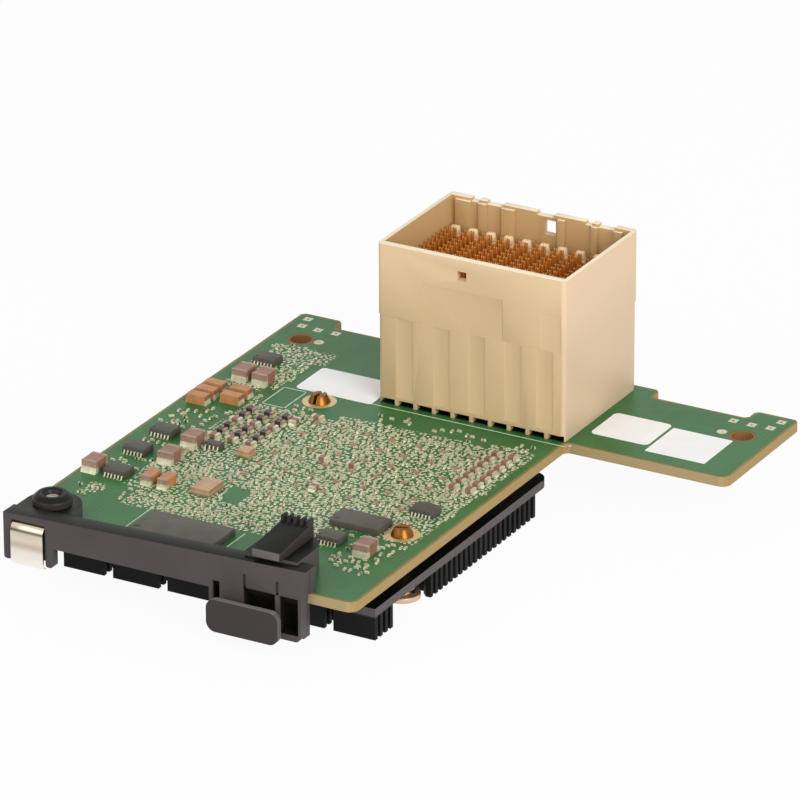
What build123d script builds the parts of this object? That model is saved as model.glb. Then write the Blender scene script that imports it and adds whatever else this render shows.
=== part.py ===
from build123d import *
from math import cos, pi, sin
import os

# Circuit board: outline, thickness and fixing holes
board_width = 86.0
board_depth = 88.2
board_thickness = 1.57
main_width = 59.0
ear_depth = 24.1
side_tab = 7.2
middle_tab = 39.0
tab_length = 2.9
outer_corner = 1.5
inner_corner = 1.0
tab_corner = 0.6
fixing_from_side = 4.9
fixing_hole = 3.3
fixing_from_back = 9.2

# Shrouded connector: housing, wafers and blade contacts
connector_width = 32.0
connector_depth = 23.4
connector_height = 26.1
connector_from_back = 1.0
shroud_wall = 1.2
side_wall = 0.65
shroud_corner = 0.8
relief = 0.1
skirt_bottom = 14.6
notches = ((7.9, 13.6, 21.1), (27.9, 3.4, 20.4))
channel_width = 2.8
channel_top = 14.3
channel_bottom = 1.6
channel_lefts = (3.3, 9.6, 15.6, 21.8, 27.2)
foot_slot_pitch = 3.2
foot_slot_width = 2.65
foot_slot_height = 0.95
front_window = 1.6
front_window_height = 1.5
front_window_drop = 1.85
front_window_left = 13.7
back_window = 2.1
back_window_height = 2.4
back_window_drop = 0.95
back_window_left = 16.5
rim_notch_depth = 0.45
rim_notches = ((4.0, 1.4), (6.7, 2.7), (15.3, 2.9), (23.6, 1.2), (25.8, 2.8))
guide_rib_depth = 0.45
guide_ribs = ((1.4, 2.6), (5.4, 1.3), (9.4, 2.2), (19.0, 1.2), (24.8, 1.0), (28.6, 1.4))
wafer_count = 10
wafer_gap = 0.45
wafer_fit = 0.2
wafer_height = 15.0
wafer_undercut = 3.0
wafer_undercut_height = 1.4
wafer_post_length = 1.1
wafer_post_width = 1.7
wafer_post_height = 5.6
contact_count = 14
contact_height = 6.3
contact_thickness = 0.35
contact_width = 0.7
contact_draft = 0.8

# Heat sink under the board, with the chip it cools
sink_left = 4.6
sink_front = 9.3
sink_right_margin = 1.8
sink_back_gap = 1.0
sink_corner = 2.5
plate_thickness = 1.35
fin_height = 3.65
fin_thickness = 0.75
fin_pitch = 1.5
bare_back = 4.5
cross_cut = 1.5
cross_cut_pitch = 13.95
cross_cut_count = 3
cross_cut_shift = 4.65
pin_pocket = 3.4
side_bay_front = 14.8
side_bay_back = 25.7
chip_side = 31.0
chip_substrate = 1.2
chip_lid_side = 27.0
chip_lid = 1.8
pad_thickness = 0.53
pad_margin = 1.0

# Push pins that hold the heat sink
pin_rear_x = 19.2
pin_rear_gap = 4.05
pin_front_margin = 5.4
pin_front_y = 23.8
pin_shaft = 2.5
pin_hole_clearance = 0.15
pin_head = 5.4
pin_head_thickness = 0.8
pin_head_lift = 0.25
pin_barb = 3.5
pin_barb_height = 1.25
pin_tip = 2.3
pin_slot = 0.55
pin_seat = 0.03
spring_wire = 0.45
spring_turns = 3
spring_sides = 12
spring_wire_sides = 4
spring_seat = 0.06
spring_clearance = 0.35

# Front bracket with its latch, rivets and spring clip
bracket_left = 1.2
bracket_right_margin = 7.0
bracket_wall = 1.6
bracket_clearance = 0.1
bracket_rise_left = 2.4
bracket_rise_right = 4.0
bar_drop = 1.8
deck_depth = 1.4
post_width = 1.2
post_drop = 4.95
end_post_width = 1.3
clip_bay = 5.8
clip_bay_top = 1.5
clip_back = 0.7
clip_back_drop = 4.4
latch_width = 16.1
latch_drop = 7.4
latch_taper = 1.2
latch_corner = 0.6
latch_reach = 4.2
lip_width = 11.9
lip_left = 1.0
lip_height = 5.1
lip_thickness = 1.0
lip_corner = 1.5
latch_floor = 1.0
latch_window_top = -1.75
latch_windows = ((0.6, 1.2), (5.7, 5.3), (11.7, 3.1))
latch_recess_top = -0.6
latch_recess_depth = 1.1
latch_grooves = (5.7, 11.1)
latch_groove = 0.5
latch_groove_depth = 0.4
latch_groove_top = 1.5
latch_pocket = 1.6
latch_pocket_wall = 0.5
boss = 8.7
boss_rise_left = 2.0
boss_rise_right = 4.4
boss_from_front = 5.1
boss_from_latch_end = 6.6
knob_left = 2.6
knob_width = 4.7
knob_front = 6.2
knob_back = 3.6
knob_height = 1.3
knob_rise = 1.1
knob_teeth = 5
knob_tooth = 0.45
knob_tooth_length = 1.5
knob_tooth_height = 0.7
rivet_cap = 5.9
rivet_cap_height = 1.75
rivet_cap_bevel = 0.7
rivet_dish = 3.0
rivet_dish_floor = 2.2
rivet_dish_depth = 0.9
rivet_shank = 2.9
rivet_clearance = 0.15
rivet_barb = 3.7
rivet_barb_height = 1.4
clip_width = 5.5
clip_thickness = 0.32
clip_leg = 1.1
clip_shoulder = 0.3
clip_bend = 1.5
clip_drop = 5.2
clip_curl = 0.5

# Parts soldered to the board's top face
chip_standoff = 0.1
chip_draft = 5.0
lead_thickness = 0.16
lead_width = 0.3
lead_shoulder = 0.35
lead_reach = 0.75
lead_foot = 0.3
memory_front = 4.9
memory_width = 14.0
memory_depth = 7.2
memory_height = 1.1
logic_from_right = 16.4
logic_front = 21.5
logic_width = 8.2
logic_depth = 4.6
logic_height = 1.05
small_chip_width = 3.9
small_chip_depth = 2.9
small_chip_height = 1.1
small_chip_leads = 4
small_chip_corners = ((3.0, 67.3), (2.9, 36.8), (2.7, 29.3), (4.4, 20.9))
small_chip_right_corners = ((15.3, 15.6), (7.9, 30.4))
crystal_height = 1.0
crystal_base = 0.45
crystal_lid_margin = 0.25
small_crystal_side = 2.6
small_crystal_left = 18.0
small_crystal_front = 36.2
large_crystal_width = 3.6
large_crystal_depth = 4.9
large_crystal_left = 18.9
large_crystal_front = 21.4
ceramic_width = 2.5
ceramic_length = 3.2
ceramic_height = 1.9
ceramic_terminal = 0.55
ceramic_corners = ((3.5, 60.4), (7.0, 60.4), (9.3, 35.4), (9.3, 28.6), (1.0, 20.7))
ceramic_right_corners = ((8.2, 14.2),)
tantalum_width = 3.2
tantalum_depth = 1.7
tantalum_height = 1.5
tantalum_terminal = 0.45
tantalum_strip = 1.2
tantalum_corners = ((1.7, 55.0), (1.7, 52.4), (1.7, 49.8), (6.2, 54.9), (6.2, 52.2))
tantalum_turned_corners = ((11.1, 20.8), (13.9, 20.8))
small_part_length = 1.0
small_part_width = 0.5
small_part_height = 0.4
small_part_pitch_x = 4.4
small_part_pitch_y = 4.2
field_left = 23.0
field_front = 31.0
field_right_gap = 1.0
field_back_gap = 10.6
mid_part_length = 2.0
mid_part_width = 1.25
mid_part_height = 0.9
mid_part_pitch = 2.2
left_mid_x = (12.0, 15.1, 18.2)
left_mid_front = 40.5
left_mid_back_gap = 7.5
right_mid_margins = (6.8, 4.0)
right_mid_front = 41.6
right_mid_back_gap = 8.9

# Places worked out from the sizes above
chip_stack = chip_substrate + chip_lid
plate_top = -(board_thickness + chip_stack + pad_thickness)
plate_bottom = plate_top - plate_thickness
fin_tip = plate_bottom - fin_height
board_left = -board_width / 2
board_front = (latch_reach - board_depth) / 2
board_top = -fin_tip
connector_x = board_width / 2
connector_left = connector_x - connector_width / 2
connector_front = board_depth - connector_from_back - connector_depth
connector_y = connector_front + connector_depth / 2
ear_front = board_depth - ear_depth
fixing_pitch = board_width - 2 * fixing_from_side
cavity_width = connector_width - 2 * side_wall
cavity_depth = connector_depth - 2 * shroud_wall
wafer_pitch = (cavity_width - 2 * wafer_fit + wafer_gap) / wafer_count
wafer_length = cavity_depth - 2 * guide_rib_depth - 2 * wafer_fit
pin_rear_y = connector_front - pin_rear_gap
pin_front_x = main_width - pin_front_margin
chip_x = (pin_rear_x + pin_front_x) / 2
chip_y = (pin_rear_y + pin_front_y) / 2
pin_places = {"front": (pin_front_x, pin_front_y), "rear": (pin_rear_x, pin_rear_y)}
pin_hole = pin_shaft + 2 * pin_hole_clearance
bracket_right = main_width - bracket_right_margin
boss_left_x = bracket_left + boss / 2
boss_right_x = bracket_right - boss_from_latch_end
rivet_hole = rivet_shank + 2 * rivet_clearance
rivet_places = {
    "left": (boss_left_x, boss_from_front, boss_rise_left),
    "right": (boss_right_x, boss_from_front, boss_rise_right),
}


def level(x, y, z):
    """A level plane: x and y from the board's front left corner, z above its top face."""
    return Plane((board_left + x, board_front + y, board_top + z))


def facing_front(x, y, z):
    """An upright plane that faces forward: its x runs to the right and its y upwards."""
    return Plane((board_left + x, board_front + y, board_top + z), x_dir=(1, 0, 0), z_dir=(0, -1, 0))


def facing_right(x, y, z):
    """An upright plane that faces right: its x runs to the back and its y upwards."""
    return Plane((board_left + x, board_front + y, board_top + z), x_dir=(0, 1, 0), z_dir=(1, 0, 0))


os.makedirs("parts", exist_ok=True)

# Circuit board: the main part, the ear on the right and the tabs along the back edge
back_line = board_depth - tab_length
with BuildPart() as circuit_board:
    with BuildSketch(level(0, 0, 0)) as board_outline:
        with BuildLine():
            Polyline(
                (0, 0),
                (main_width, 0),
                (main_width, ear_front),
                (board_width, ear_front),
                (board_width, board_depth),
                (board_width - side_tab, board_depth),
                (board_width - side_tab, back_line),
                (connector_x + middle_tab / 2, back_line),
                (connector_x + middle_tab / 2, board_depth),
                (connector_x - middle_tab / 2, board_depth),
                (connector_x - middle_tab / 2, back_line),
                (side_tab, back_line),
                (side_tab, board_depth),
                (0, board_depth),
                close=True,
            )
        make_face()
        fillet(board_outline.vertices().sort_by_distance((main_width, ear_front))[0], inner_corner)
        fillet(board_outline.vertices().group_by(Axis.Y)[0], outer_corner)
        fillet(board_outline.vertices().sort_by_distance((board_width, ear_front))[0], outer_corner)
        chamfer(board_outline.vertices().filter_by_position(Axis.Y, back_line, board_depth), tab_corner)
        with Locations((connector_x, board_depth - fixing_from_back)):
            with GridLocations(fixing_pitch, 0, 2, 1):
                Circle(fixing_hole / 2, mode=Mode.SUBTRACT)
        with Locations(*pin_places.values()):
            Circle(pin_hole / 2, mode=Mode.SUBTRACT)
        with Locations((boss_left_x, boss_from_front), (boss_right_x, boss_from_front)):
            Circle(rivet_hole / 2, mode=Mode.SUBTRACT)
    extrude(amount=-board_thickness)
circuit_board.part.label = "circuit_board"
export_step(circuit_board.part, "parts/circuit_board.step")

# Connector housing: a plain lower box, a skirt that stands proud of it, and an open top
with BuildPart() as connector_housing:
    with BuildSketch(level(connector_x, connector_y, 0)):
        RectangleRounded(connector_width - 2 * relief, connector_depth - 2 * relief, shroud_corner)
    extrude(amount=connector_height)
    with BuildSketch(level(connector_x, connector_y, skirt_bottom)):
        RectangleRounded(connector_width, connector_depth, shroud_corner)
    extrude(amount=connector_height - skirt_bottom)
    with BuildSketch(facing_front(connector_left, connector_front, 0)):
        for notch_left, notch_width, notch_top in notches:
            with Locations((notch_left, skirt_bottom)):
                Rectangle(notch_width, notch_top - skirt_bottom, align=(Align.MIN, Align.MIN))
    extrude(amount=-relief, mode=Mode.SUBTRACT)
    with BuildSketch(facing_front(connector_left, connector_front + relief, channel_bottom)):
        with Locations(*[(left, 0) for left in channel_lefts]):
            Rectangle(channel_width, channel_top - channel_bottom, align=(Align.MIN, Align.MIN))
    extrude(amount=-relief, mode=Mode.SUBTRACT)
    with BuildSketch(level(connector_x, connector_y, 0)):
        Rectangle(cavity_width, cavity_depth)
    extrude(amount=connector_height, mode=Mode.SUBTRACT)
    # Slots between the feet, under the front and back walls
    with BuildSketch(facing_front(connector_x, connector_front, foot_slot_height / 2)):
        with GridLocations(foot_slot_pitch, 0, wafer_count, 1):
            Rectangle(foot_slot_width, foot_slot_height)
    extrude(amount=-connector_depth, mode=Mode.SUBTRACT)
    # Keying windows near the rim and notches in the back rim
    with BuildSketch(facing_front(connector_left, connector_front, connector_height - front_window_drop)):
        with Locations((front_window_left, 0)):
            Rectangle(front_window, front_window_height, align=(Align.MIN, Align.MAX))
    extrude(amount=-shroud_wall, mode=Mode.SUBTRACT)
    with BuildSketch(facing_front(connector_left, connector_front + connector_depth, connector_height)):
        with Locations((back_window_left, -back_window_drop)):
            Rectangle(back_window, back_window_height, align=(Align.MIN, Align.MAX))
        for notch_start, notch_length in rim_notches:
            with Locations((notch_start, 0)):
                Rectangle(notch_length, rim_notch_depth, align=(Align.MIN, Align.MAX))
    extrude(amount=shroud_wall, mode=Mode.SUBTRACT)
    # Guide ribs on the inner face of the back wall
    with BuildSketch(level(connector_left, connector_front + connector_depth - shroud_wall, 0)):
        for rib_start, rib_width in guide_ribs:
            with Locations((rib_start, 0)):
                Rectangle(rib_width, guide_rib_depth, align=(Align.MIN, Align.MAX))
    extrude(amount=connector_height - rim_notch_depth)
connector_housing.part.label = "connector_housing"
export_step(connector_housing.part, "parts/connector_housing.step")

# Contact wafers: upright plates side by side, undercut at both ends, with a post behind the contacts
wafer_front = connector_front + shroud_wall + wafer_fit
contact_pitch = (wafer_length - wafer_post_length) / contact_count
for number in range(1, wafer_count + 1):
    wafer_x = connector_x + (number - (wafer_count + 1) / 2) * wafer_pitch
    with BuildPart() as contact_wafer:
        with BuildSketch(facing_right(wafer_x, wafer_front, 0)):
            with BuildLine():
                Polyline(
                    (wafer_undercut, 0),
                    (wafer_length - wafer_undercut, 0),
                    (wafer_length - wafer_undercut, wafer_undercut_height),
                    (wafer_length, wafer_undercut_height),
                    (wafer_length, wafer_height),
                    (0, wafer_height),
                    (0, wafer_undercut_height),
                    (wafer_undercut, wafer_undercut_height),
                    close=True,
                )
            make_face()
        extrude(amount=(wafer_pitch - wafer_gap) / 2, both=True)
        with BuildSketch(level(wafer_x, wafer_front + wafer_length, wafer_height)):
            Rectangle(wafer_post_width, wafer_post_length, align=(Align.CENTER, Align.MAX))
        extrude(amount=wafer_post_height)
    contact_wafer.part.label = f"contact_wafer_{number:02d}"
    export_step(contact_wafer.part, f"parts/contact_wafer_{number:02d}.step")

    # Blade contacts in one row along the wafer, thinner towards their tips
    row_y = wafer_front + (wafer_length - wafer_post_length) / 2
    with BuildPart() as contact_row:
        with BuildSketch(level(wafer_x, row_y, wafer_height)):
            with GridLocations(0, contact_pitch, 1, contact_count):
                Rectangle(contact_thickness, contact_width)
        extrude(amount=contact_height, taper=contact_draft)
    contact_row.part.label = f"contact_row_{number:02d}"
    export_step(contact_row.part, f"parts/contact_row_{number:02d}.step")

# Heat sink: a plate with short fins underneath, cut across into blocks
sink_right = main_width - sink_right_margin
sink_width = sink_right - sink_left
sink_x = (sink_left + sink_right) / 2
sink_depth = connector_front - sink_back_gap - sink_front
fin_count = int((sink_depth - bare_back - fin_thickness) / fin_pitch) + 1
fin_field = fin_thickness + (fin_count - 1) * fin_pitch
with BuildPart() as heat_sink:
    with BuildSketch(level(0, 0, plate_bottom)) as plate_outline:
        with Locations((sink_x, sink_front)):
            Rectangle(sink_width, sink_depth, align=(Align.CENTER, Align.MIN))
        fillet(plate_outline.vertices().group_by(Axis.Y)[-1], sink_corner)
        with Locations(*pin_places.values()):
            Circle(pin_hole / 2, mode=Mode.SUBTRACT)
    extrude(amount=plate_thickness)
    with BuildSketch(level(0, 0, plate_bottom)):
        with Locations((sink_x, sink_front + fin_field / 2)):
            with GridLocations(0, fin_pitch, 1, fin_count):
                Rectangle(sink_width, fin_thickness)
        with Locations((sink_x + cross_cut_shift, sink_front + fin_field / 2)):
            with GridLocations(cross_cut_pitch, 0, cross_cut_count, 1):
                Rectangle(cross_cut, fin_field, mode=Mode.SUBTRACT)
        with Locations(*pin_places.values()):
            Circle(pin_pocket, mode=Mode.SUBTRACT)
        with Locations((sink_right, side_bay_front)):
            Rectangle(
                sink_right - pin_front_x,
                side_bay_back - side_bay_front,
                align=(Align.MAX, Align.MIN),
                mode=Mode.SUBTRACT,
            )
    extrude(amount=-fin_height)
heat_sink.part.label = "heat_sink"
export_step(heat_sink.part, "parts/heat_sink.step")

# Controller chip under the board, and the pad that carries its heat to the plate
with BuildPart() as controller_chip:
    with BuildSketch(level(chip_x, chip_y, -board_thickness)):
        Rectangle(chip_side, chip_side)
    extrude(amount=-chip_substrate)
    with BuildSketch(level(chip_x, chip_y, -board_thickness - chip_substrate)):
        RectangleRounded(chip_lid_side, chip_lid_side, outer_corner)
    extrude(amount=-chip_lid)
controller_chip.part.label = "controller_chip"
export_step(controller_chip.part, "parts/controller_chip.step")

with BuildPart() as thermal_pad:
    with BuildSketch(level(chip_x, chip_y, plate_top)):
        Rectangle(chip_lid_side - 2 * pad_margin, chip_lid_side - 2 * pad_margin)
    extrude(amount=pad_thickness)
thermal_pad.part.label = "thermal_pad"
export_step(thermal_pad.part, "parts/thermal_pad.step")

# Push pins: a head below the plate, a shaft through plate and board, and a split barbed tip on top
head_bottom = fin_tip + pin_head_lift
head_top = head_bottom + pin_head_thickness
spring_height = plate_bottom - head_top - spring_wire - 2 * spring_seat
spring_radius = pin_shaft / 2 + spring_clearance + spring_wire / 2
coil_points = []
for step in range(spring_turns * spring_sides + 1):
    turn = 2 * pi * step / spring_sides
    rise = spring_height * step / (spring_turns * spring_sides)
    coil_points.append((spring_radius * cos(turn), spring_radius * sin(turn), rise))
for name, (pin_x, pin_y) in pin_places.items():
    with BuildPart() as push_pin:
        with BuildSketch(facing_front(pin_x, pin_y, 0)):
            with BuildLine():
                Polyline(
                    (0, head_bottom),
                    (pin_head / 2, head_bottom),
                    (pin_head / 2, head_top),
                    (pin_shaft / 2, head_top),
                    (pin_shaft / 2, pin_seat),
                    (pin_barb / 2, pin_seat),
                    (pin_tip / 2, pin_barb_height),
                    (0, pin_barb_height),
                    close=True,
                )
            make_face()
        revolve(axis=Axis((board_left + pin_x, board_front + pin_y, board_top), (0, 0, 1)))
        with BuildSketch(facing_front(pin_x, pin_y, -board_thickness)):
            Rectangle(pin_slot, pin_barb_height + board_thickness, align=(Align.CENTER, Align.MIN))
        extrude(amount=pin_barb / 2, both=True, mode=Mode.SUBTRACT)
    push_pin.part.label = f"push_pin_{name}"
    export_step(push_pin.part, f"parts/push_pin_{name}.step")

    # Coil spring between the pin's head and the heat sink's plate
    with BuildPart() as pin_spring:
        with BuildLine(level(pin_x, pin_y, head_top + spring_seat + spring_wire / 2)) as coil:
            Polyline(*coil_points)
        with BuildSketch(Plane(origin=coil.line @ 0, z_dir=coil.line % 0)):
            RegularPolygon(spring_wire / 2, spring_wire_sides)
        sweep(path=coil.line, transition=Transition.RIGHT)
    pin_spring.part.label = f"pin_spring_{name}"
    export_step(pin_spring.part, f"parts/pin_spring_{name}.step")

# Front bracket: a wall along the board's front edge with posts at its left and a latch at its right
wall_back = -bracket_clearance
latch_left = bracket_right - latch_width
post_left = bracket_left + end_post_width + clip_bay
lip_x = latch_left + lip_left
with BuildPart() as front_bracket:
    with BuildSketch(facing_front(0, wall_back, 0)) as wall_outline:
        with BuildLine():
            Polyline(
                (bracket_left, bracket_rise_left),
                (bracket_left, -post_drop),
                (bracket_left + end_post_width, -post_drop),
                (bracket_left + end_post_width, clip_bay_top),
                (post_left, clip_bay_top),
                (post_left, -post_drop),
                (post_left + post_width, -post_drop),
                (post_left + post_width, -bar_drop),
                (latch_left, -bar_drop),
                (latch_left, -latch_drop),
                (bracket_right - latch_taper, -latch_drop),
                (bracket_right, bracket_rise_right),
                close=True,
            )
        make_face()
        fillet(wall_outline.vertices().group_by(Axis.Y)[0], latch_corner)
        fillet(wall_outline.vertices().filter_by_position(Axis.Y, -post_drop, -post_drop), end_post_width / 3)
    extrude(amount=bracket_wall - bracket_clearance)
    # Back of the clip bay, between its two posts
    with BuildSketch(facing_front(bracket_left + end_post_width, wall_back, 0)):
        Rectangle(clip_bay, clip_back_drop, align=(Align.MIN, Align.MAX))
    extrude(amount=clip_back)
    # Deck that lies on the board behind the wall
    with BuildSketch(facing_front(0, deck_depth, 0)):
        with BuildLine():
            Polyline(
                (bracket_left, 0),
                (bracket_right, 0),
                (bracket_right, bracket_rise_right),
                (bracket_left, bracket_rise_left),
                close=True,
            )
        make_face()
    extrude(amount=deck_depth + bracket_clearance)
    # Round bosses for the rivets, each with a neck that ties it to the deck
    for boss_x, boss_rise in ((boss_left_x, boss_rise_left), (boss_right_x, boss_rise_right)):
        with BuildSketch(level(boss_x, boss_from_front, 0)):
            Circle(boss / 2)
            Rectangle(boss, boss_from_front, align=(Align.CENTER, Align.MAX))
        extrude(amount=boss_rise)
    with BuildSketch(level(boss_left_x, boss_from_front, 0)):
        with Locations((0, 0), (boss_right_x - boss_left_x, 0)):
            Circle(rivet_hole / 2)
    extrude(amount=boss_rise_right + bracket_rise_right, mode=Mode.SUBTRACT)
    # Bay for the spring clip, open to the front under the deck
    with BuildSketch(facing_front(bracket_left + end_post_width, deck_depth, 0)):
        Rectangle(clip_bay, clip_bay_top, align=(Align.MIN, Align.MIN))
    extrude(amount=deck_depth + bracket_wall, mode=Mode.SUBTRACT)
    # Latch: three windows under a shallow recess, two grooves above them, and the lip in front
    for cut_top, cut_depth in ((latch_window_top, bracket_wall), (latch_recess_top, latch_recess_depth)):
        with BuildSketch(facing_front(latch_left, -bracket_wall, 0)):
            for window_left, window_width in latch_windows:
                with Locations((window_left, latch_floor - latch_drop)):
                    Rectangle(window_width, latch_drop - latch_floor + cut_top, align=(Align.MIN, Align.MIN))
        extrude(amount=-cut_depth, mode=Mode.SUBTRACT)
    with BuildSketch(facing_front(latch_left, -bracket_wall, latch_recess_top)):
        with Locations(*[(groove_left, 0) for groove_left in latch_grooves]):
            Rectangle(latch_groove, latch_groove_top - latch_recess_top, align=(Align.MIN, Align.MIN))
    extrude(amount=-latch_groove_depth, mode=Mode.SUBTRACT)
    with BuildSketch(facing_front(lip_x + lip_corner, -bracket_wall, -latch_drop)):
        Rectangle(lip_width - 2 * lip_corner, latch_floor, align=(Align.MIN, Align.MIN))
    extrude(amount=latch_reach - bracket_wall)
    with BuildSketch(facing_front(lip_x, -latch_reach, -latch_drop)):
        with Locations((lip_width / 2, lip_height / 2)):
            RectangleRounded(lip_width, lip_height, lip_corner)
    extrude(amount=-lip_thickness)
    # Pocket behind the latch window, closed at the back and under the board
    pocket_width = latch_width - latch_taper
    pocket_top = -(board_thickness + bracket_clearance)
    with BuildSketch(facing_front(latch_left, latch_pocket, 0)):
        with Locations((0, pocket_top)):
            Rectangle(pocket_width, latch_drop + pocket_top, align=(Align.MIN, Align.MAX))
    extrude(amount=latch_pocket + bracket_clearance)
    with BuildSketch(facing_front(latch_left, latch_pocket - latch_pocket_wall, 0)):
        with Locations((latch_pocket_wall, latch_floor - latch_drop)):
            Rectangle(
                pocket_width - 2 * latch_pocket_wall,
                latch_drop - latch_floor + latch_window_top - latch_pocket_wall,
                align=(Align.MIN, Align.MIN),
            )
    extrude(amount=latch_pocket - latch_pocket_wall + bracket_clearance, mode=Mode.SUBTRACT)
front_bracket.part.label = "front_bracket"
export_step(front_bracket.part, "parts/front_bracket.step")

# Rivets: a shank through boss and board with a barbed foot, under a dished cap or a sloping knob
for name, (rivet_x, rivet_y, boss_rise) in rivet_places.items():
    with BuildPart() as rivet:
        with BuildSketch(facing_front(rivet_x, rivet_y, 0)):
            with BuildLine():
                Polyline(
                    (0, boss_rise),
                    (rivet_shank / 2, boss_rise),
                    (rivet_shank / 2, -board_thickness),
                    (rivet_barb / 2, -board_thickness),
                    (rivet_shank / 2, -board_thickness - rivet_barb_height),
                    (0, -board_thickness - rivet_barb_height),
                    close=True,
                )
            make_face()
            if name == "left":
                with BuildLine():
                    Polyline(
                        (0, boss_rise),
                        (rivet_cap / 2, boss_rise),
                        (rivet_cap / 2, boss_rise + rivet_cap_height - rivet_cap_bevel),
                        (rivet_cap / 2 - rivet_cap_bevel, boss_rise + rivet_cap_height),
                        (rivet_dish / 2, boss_rise + rivet_cap_height),
                        (rivet_dish_floor / 2, boss_rise + rivet_cap_height - rivet_dish_depth),
                        (0, boss_rise + rivet_cap_height - rivet_dish_depth),
                        close=True,
                    )
                make_face()
        revolve(axis=Axis((board_left + rivet_x, board_front + rivet_y, board_top), (0, 0, 1)))
        if name == "right":
            with BuildSketch(facing_right(rivet_x - knob_left, rivet_y, boss_rise)):
                with BuildLine():
                    Polyline(
                        (-knob_front, 0),
                        (knob_back, 0),
                        (knob_back, knob_height + knob_rise),
                        (-knob_front, knob_height),
                        close=True,
                    )
                make_face()
            extrude(amount=knob_width)
            knob_x = rivet_x - knob_left + knob_width / 2
            tooth_pitch = (knob_width - knob_tooth) / (knob_teeth - 1)
            teeth_y = rivet_y + knob_back - knob_tooth_length / 2
            with BuildSketch(level(knob_x, teeth_y, boss_rise + knob_height)):
                with GridLocations(tooth_pitch, 0, knob_teeth, 1):
                    Rectangle(knob_tooth, knob_tooth_length)
            extrude(amount=knob_rise + knob_tooth_height)
    rivet.part.label = f"bracket_rivet_{name}"
    export_step(rivet.part, f"parts/bracket_rivet_{name}.step")

# Spring clip: a leg under the deck, a round shoulder and a straight front whose foot curls back
clip_left = bracket_left + end_post_width + (clip_bay - clip_width) / 2
clip_top = clip_bay_top - clip_thickness
clip_front = clip_shoulder + clip_bend
with BuildPart() as spring_clip:
    with BuildSketch(facing_right(clip_left, 0, 0)):
        with BuildLine():
            leg = Line((clip_leg, clip_top), (-clip_shoulder, clip_top))
            shoulder = TangentArc(leg @ 1, (-clip_front, clip_top - clip_bend), tangent=(-1, 0))
            face = Line(shoulder @ 1, (-clip_front, clip_curl - clip_drop))
            TangentArc(face @ 1, (clip_curl - clip_front, -clip_drop), tangent=(0, -1))
            offset(amount=clip_thickness, side=Side.RIGHT)
        make_face()
    extrude(amount=clip_width)
spring_clip.part.label = "spring_clip"
export_step(spring_clip.part, "parts/spring_clip.step")

# Chips: drafted bodies, the two large ones flat on the board and the small ones on bent leads
memory_left = (boss_left_x + boss_right_x - memory_width) / 2
logic_left = main_width - logic_from_right
small_size = (small_chip_width, small_chip_depth, small_chip_height)
chip_corners = [*small_chip_corners, *[(main_width - x, y) for x, y in small_chip_right_corners]]
chips = {"memory_chip": (memory_left, memory_front, 0, memory_width, memory_depth, memory_height)}
chips["logic_chip"] = (logic_left, logic_front, 0, logic_width, logic_depth, logic_height)
for number, (chip_left, chip_front) in enumerate(chip_corners, start=1):
    chips[f"small_chip_{number:02d}"] = (chip_left, chip_front, chip_standoff, *small_size)
for name, (left, front, standoff, width, depth, height) in chips.items():
    with BuildPart() as chip_body:
        with BuildSketch(level(left + width / 2, front + depth / 2, standoff)):
            Rectangle(width, depth)
        extrude(amount=height, taper=chip_draft)
    chip_body.part.label = name
    export_step(chip_body.part, f"parts/{name}.step")

shoulder_height = chip_standoff + small_chip_height / 2
lead_pitch = small_chip_width / small_chip_leads
with BuildPart() as chip_leads:
    for chip_left, chip_front in chip_corners:
        lead_x = chip_left + (lead_pitch - lead_width) / 2
        for sense, edge in ((-1, chip_front), (1, chip_front + small_chip_depth)):
            with BuildSketch(facing_right(lead_x, edge, 0)):
                with BuildLine():
                    Polyline(
                        (0, shoulder_height),
                        (sense * lead_shoulder, shoulder_height),
                        (sense * lead_reach, 0),
                        (sense * (lead_reach - lead_foot), 0),
                        (0, shoulder_height - lead_thickness),
                        close=True,
                    )
                make_face()
            one_lead = extrude(amount=lead_width, mode=Mode.PRIVATE)
            with Locations(*[(number * lead_pitch, 0, 0) for number in range(small_chip_leads)]):
                add(one_lead)
chip_leads.part.label = "chip_leads"
export_step(chip_leads.part, "parts/chip_leads.step")

# Crystal cans: a ceramic base with a smaller metal lid
crystals = {"small": (small_crystal_left, small_crystal_front, small_crystal_side, small_crystal_side)}
crystals["large"] = (large_crystal_left, large_crystal_front, large_crystal_width, large_crystal_depth)
for name, (left, front, width, depth) in crystals.items():
    with BuildPart() as crystal:
        with BuildSketch(level(left + width / 2, front + depth / 2, 0)):
            Rectangle(width, depth)
        extrude(amount=crystal_base)
        with BuildSketch(level(left + width / 2, front + depth / 2, crystal_base)):
            Rectangle(width - 2 * crystal_lid_margin, depth - 2 * crystal_lid_margin)
        extrude(amount=crystal_height - crystal_base)
    crystal.part.label = f"crystal_{name}"
    export_step(crystal.part, f"parts/crystal_{name}.step")

# Large ceramic capacitors: square bodies with a plated terminal at the front and back end
capacitor_corners = [*ceramic_corners, *[(main_width - x, y) for x, y in ceramic_right_corners]]
ceramic_places = [(left + ceramic_width / 2, front + ceramic_length / 2) for left, front in capacitor_corners]
with BuildPart() as ceramic_capacitors:
    with BuildSketch(level(0, 0, 0)):
        with Locations(*ceramic_places):
            Rectangle(ceramic_width, ceramic_length - 2 * ceramic_terminal)
    extrude(amount=ceramic_height)
ceramic_capacitors.part.label = "ceramic_capacitors"
export_step(ceramic_capacitors.part, "parts/ceramic_capacitors.step")

with BuildPart() as ceramic_terminals:
    with BuildSketch(level(0, 0, 0)):
        with Locations(*ceramic_places):
            with GridLocations(0, ceramic_length - ceramic_terminal, 1, 2):
                Rectangle(ceramic_width, ceramic_terminal)
    extrude(amount=ceramic_height)
ceramic_terminals.part.label = "ceramic_terminals"
export_step(ceramic_terminals.part, "parts/ceramic_terminals.step")

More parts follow.
